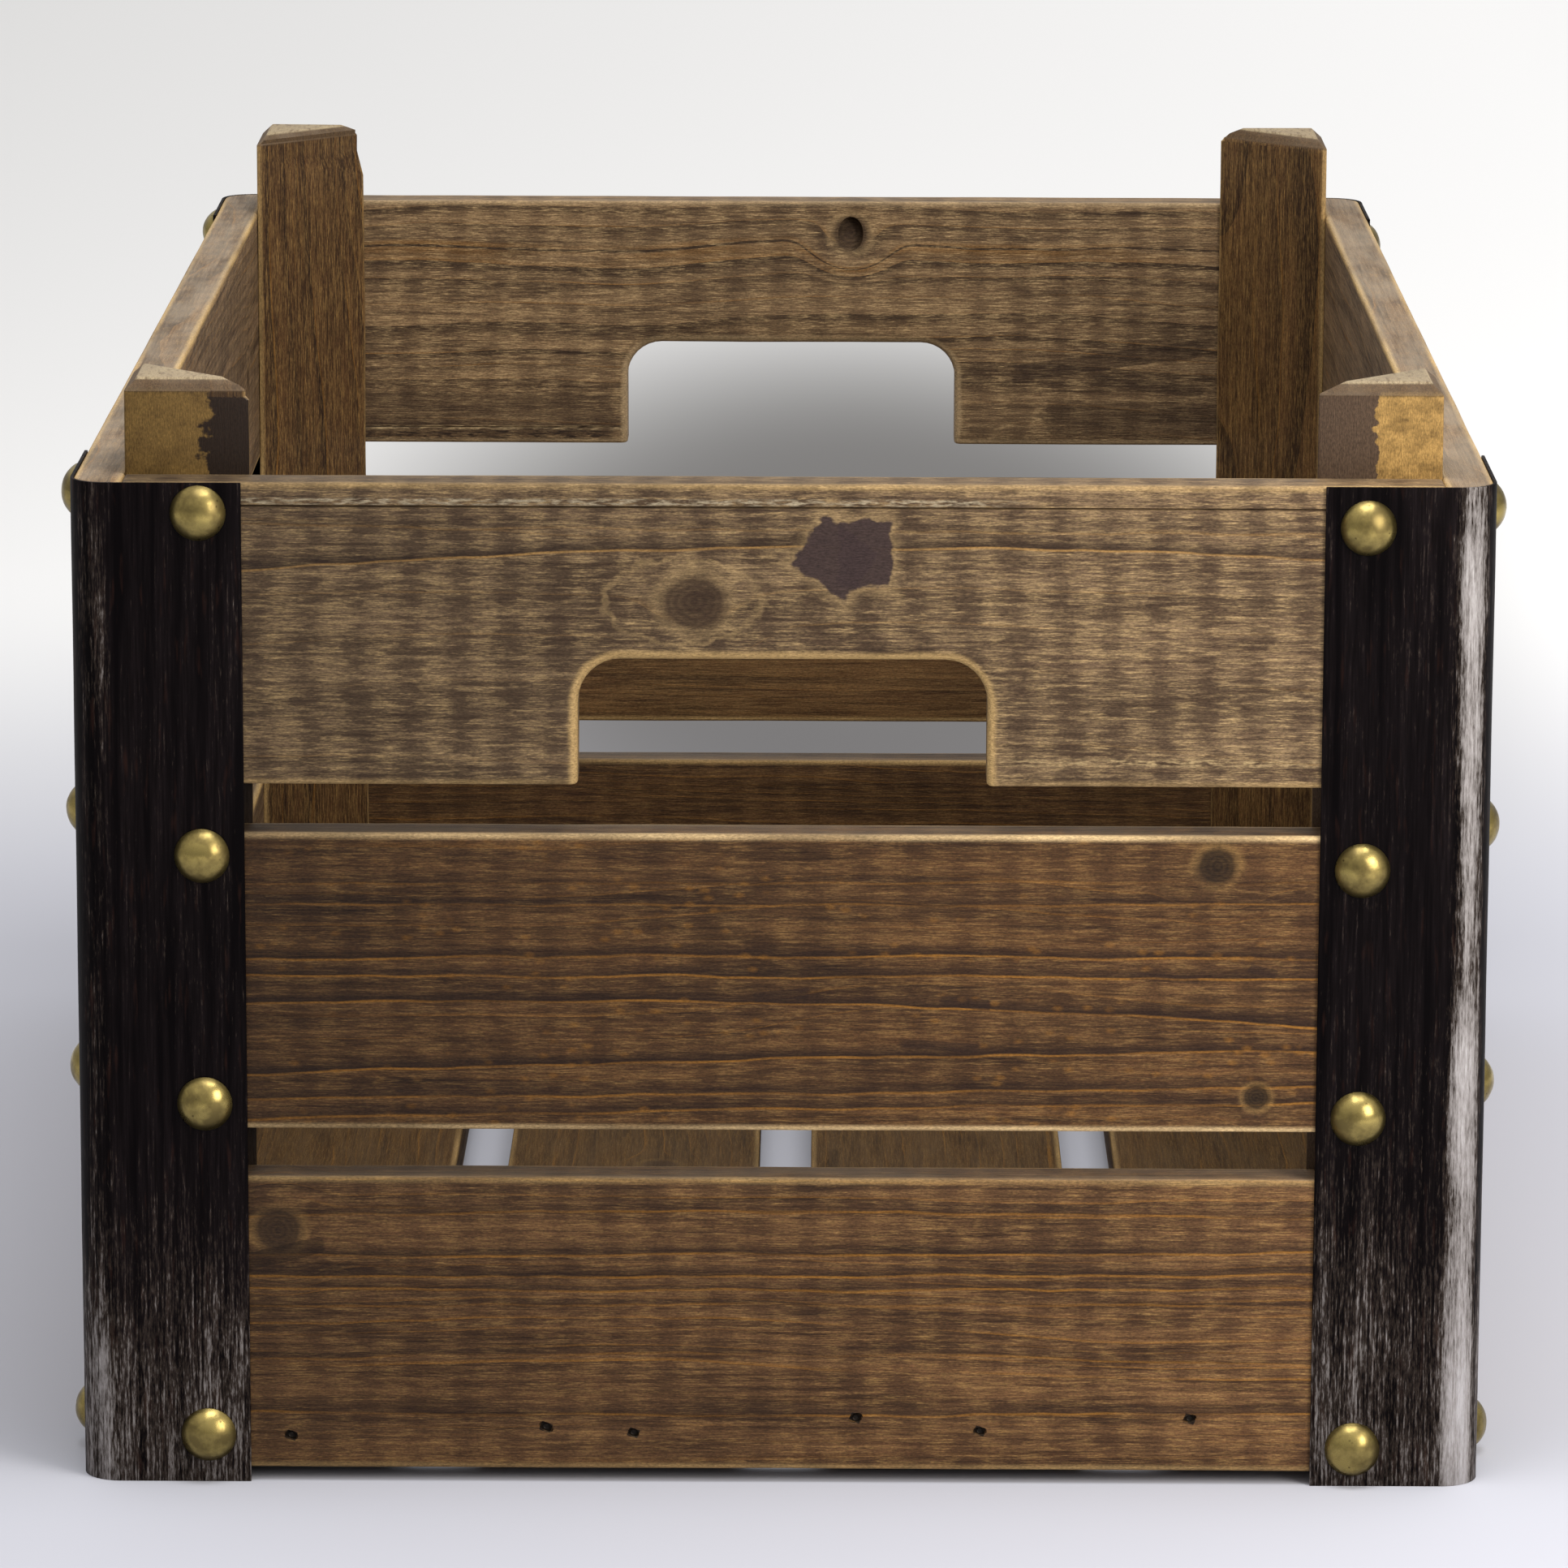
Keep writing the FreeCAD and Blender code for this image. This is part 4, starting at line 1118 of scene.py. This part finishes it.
# %% Drive the nails
# Rows go up each flange. The right-hand corners' nails sit 3 mm lower than the left's.
END_ROWS = (12.5, 110, 182, 280)
SIDE_ROWS = (10, 112.5, 188, 280)
END_X, SIDE_Y = 163.5, 263.5
dents = bpy.data.textures.new("dome_dents", "CLOUDS")
dents.noise_scale = 0.007
turner = random.Random(3)
for corner in ("front_left", "front_right", "back_left", "back_right"):
    low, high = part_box(f"{corner}_bracket")
    sx, sy, face_x, face_y = outward(low, high)
    lift = -1.5 * sx
    spots = [((sx * END_X * MM, face_y, (z + lift) * MM), (0, sy, 0)) for z in END_ROWS]
    spots += [((face_x, sy * SIDE_Y * MM, (z + lift) * MM), (sx, 0, 0)) for z in SIDE_ROWS]
    driven = []
    for spot, way in spots:
        one = copied(nail)
        one.rotation_mode = "QUATERNION"
        lean = Vector((turner.uniform(-0.03, 0.03) for _ in range(3)))
        one.rotation_quaternion = (Vector(way) + lean).to_track_quat("Z", "Y")
        one.location = spot
        driven.append(one)
    studs = joined(driven, f"{corner}_studs_brass")
    use_modifier(studs, "DISPLACE", texture=dents, texture_coords="LOCAL",
                 strength=0.35 * MM, mid_level=0.5)
    finish_piece(studs, antique_brass, f"{corner}_studs", angle=50)
bpy.data.objects.remove(nail)

# %% [markdown]
# ## The floor brads
# Thin round steel brads pass through the bottom slats into the ends of the floor boards.
# Their heads are punched a little under the surface, so each is seen only as the dark
# bottom of a small torn hole. A brad is a thin cylinder with a dished head and a tip.

# %% Brads
brad_steel, add = new_finish("dull_steel_wire")
place = add("TexCoord").node.outputs["Object"]
film = add("TexNoise", {"Vector": place, "Scale": 900.0, "Detail": 3.0})
tone = add("Mix.RGBA", film, "#14110f", "#3a3531")
dull = add("MapRange", film, 0.3, 0.7, 0.45, 0.7)
steel = add("BsdfPrincipled", {"Base Color": tone, "Metallic": 1.0, "Roughness": dull})
add("OutputMaterial", {"Surface": steel})
BRAD_RADIUS, BRAD_LONG, BRAD_SUNK = 0.9 * MM, 35 * MM, 1.0 * MM
for end, heights in (("front", BRAD_Z), ("back", BACK_BRAD_Z)):
    _, sy, _, face_y = outward(*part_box(f"{end}_bottom_slat"))
    head_y = face_y - sy * BRAD_SUNK
    tip_y = head_y - sy * BRAD_LONG
    driven = []
    for x, z in zip(BRAD_X, heights):
        clear_bench()
        bpy.ops.mesh.primitive_cylinder_add(
            vertices=14, radius=BRAD_RADIUS, depth=BRAD_LONG,
            location=(x * MM, (head_y + tip_y) / 2, z * MM), rotation=(math.pi / 2, 0, 0))
        brad = settle(bpy.context.object, "brad")
        pick(brad, "FACE", lambda m, way: near(m.y, head_y))
        bpy.ops.mesh.inset(thickness=0.3 * MM)
        bpy.ops.transform.translate(value=(0, -sy * 0.2 * MM, 0))
        pick(brad, "FACE", lambda m, way: near(m.y, tip_y))
        bpy.ops.mesh.extrude_region_move(TRANSFORM_OT_translate={"value": (0, 0, 0)})
        bpy.ops.transform.resize(value=(0.3, 1, 0.3),
                                 center_override=(x * MM, tip_y, z * MM))
        driven.append(brad)
    brads = joined(driven, f"{end}_floor_brads_steel")
    finish_piece(brads, brad_steel, f"{end}_floor_brads")

# %% [markdown]
# ## Floor and light
# The crate stands on a plain pale floor. A wide soft light comes from the right and in
# front, as from a big window, another hangs over the crate, and the pale world fills in
# the rest. The light is close enough for the left side to be darker than the right. Shade
# is also painted into the floor's colour: it is darker near the crate and towards the left,
# and a dark soft oval behind the crate is a painted shadow.

# %% Studio
clear_bench()
bpy.ops.mesh.primitive_plane_add(size=40, location=(0, 0, 0))
floor = settle(bpy.context.object, "studio_floor")
cloth, add = new_finish("pale_matt_floor")
place = add("TexCoord").node.outputs["Object"]
away = add("VectorMath.LENGTH", place).node.outputs["Value"]
# Painted shade: the floor is darker near the crate.
far = add("MapRange.SMOOTHSTEP", away, 0.45, 1.2)
pale = add("Mix.RGBA", far, "#bcbdc6", "#f6f6f6")
across = add("SeparateXYZ", place).node.outputs["X"]
# Painted shade: the floor is darker towards the left, away from the window light.
side = add("MapRange", across, -0.9, 0.5, 0.74, 1.05)
pale = add("HueSaturation", {"Value": side, "Color": pale})
# A painted shadow: a dark soft oval on the floor behind the crate, which is what shows through
# its rear gaps.
behind = add("VectorMath.SUBTRACT", place, (0.03, 1.1, 0.0))
behind = add("VectorMath.MULTIPLY", behind, (1 / 0.28, 1 / 0.9, 1.0))
behind = add("VectorMath.LENGTH", behind).node.outputs["Value"]
shade = add("MapRange.SMOOTHERSTEP", behind, 0.3, 1.35, 0.86, 0.0)
pale = add("Mix.RGBA", shade, pale, "#454240")
matt = add("BsdfPrincipled", {"Base Color": pale, "Roughness": 0.9, "Specular IOR Level": 0.2})
add("OutputMaterial", {"Surface": matt})
floor.data.materials.append(cloth)


def softbox(name, spot, aim, width, height, watts, colour="#ffffff"):
    data = bpy.data.lights.new(name, "AREA")
    data.shape, data.size, data.size_y = "RECTANGLE", width, height
    data.energy, data.color = watts, to_linear(colour)[:3]
    lamp = bpy.data.objects.new(name, data)
    bpy.context.scene.collection.objects.link(lamp)
    lamp.location = spot
    way = Vector(aim) - Vector(spot)
    lamp.rotation_euler = way.to_track_quat("-Z", "Y").to_euler()


softbox("window_light", (0.98, -1.15, 0.75), (0.0, -0.1, 0.15), 0.6, 0.8, 15.0, "#fffaf2")
softbox("overhead_light", (0.1, -0.45, 1.6), (0.0, 0.05, 0.1), 0.9, 0.7, 15.0)
room = bpy.data.worlds.new("pale_room")
bpy.context.scene.world = room
room.use_nodes = True
add = node_adder(room.node_tree)
way = add("TexCoord").node.outputs["Generated"]
height = add("SeparateXYZ", way).node.outputs["Z"]
bright = add("MapRange", height, 0.0, 1.0, 0.4, 1.3)
sky = add("Background", {"Color": "#fbfaf9", "Strength": bright})
add("OutputWorld", {"Surface": sky})
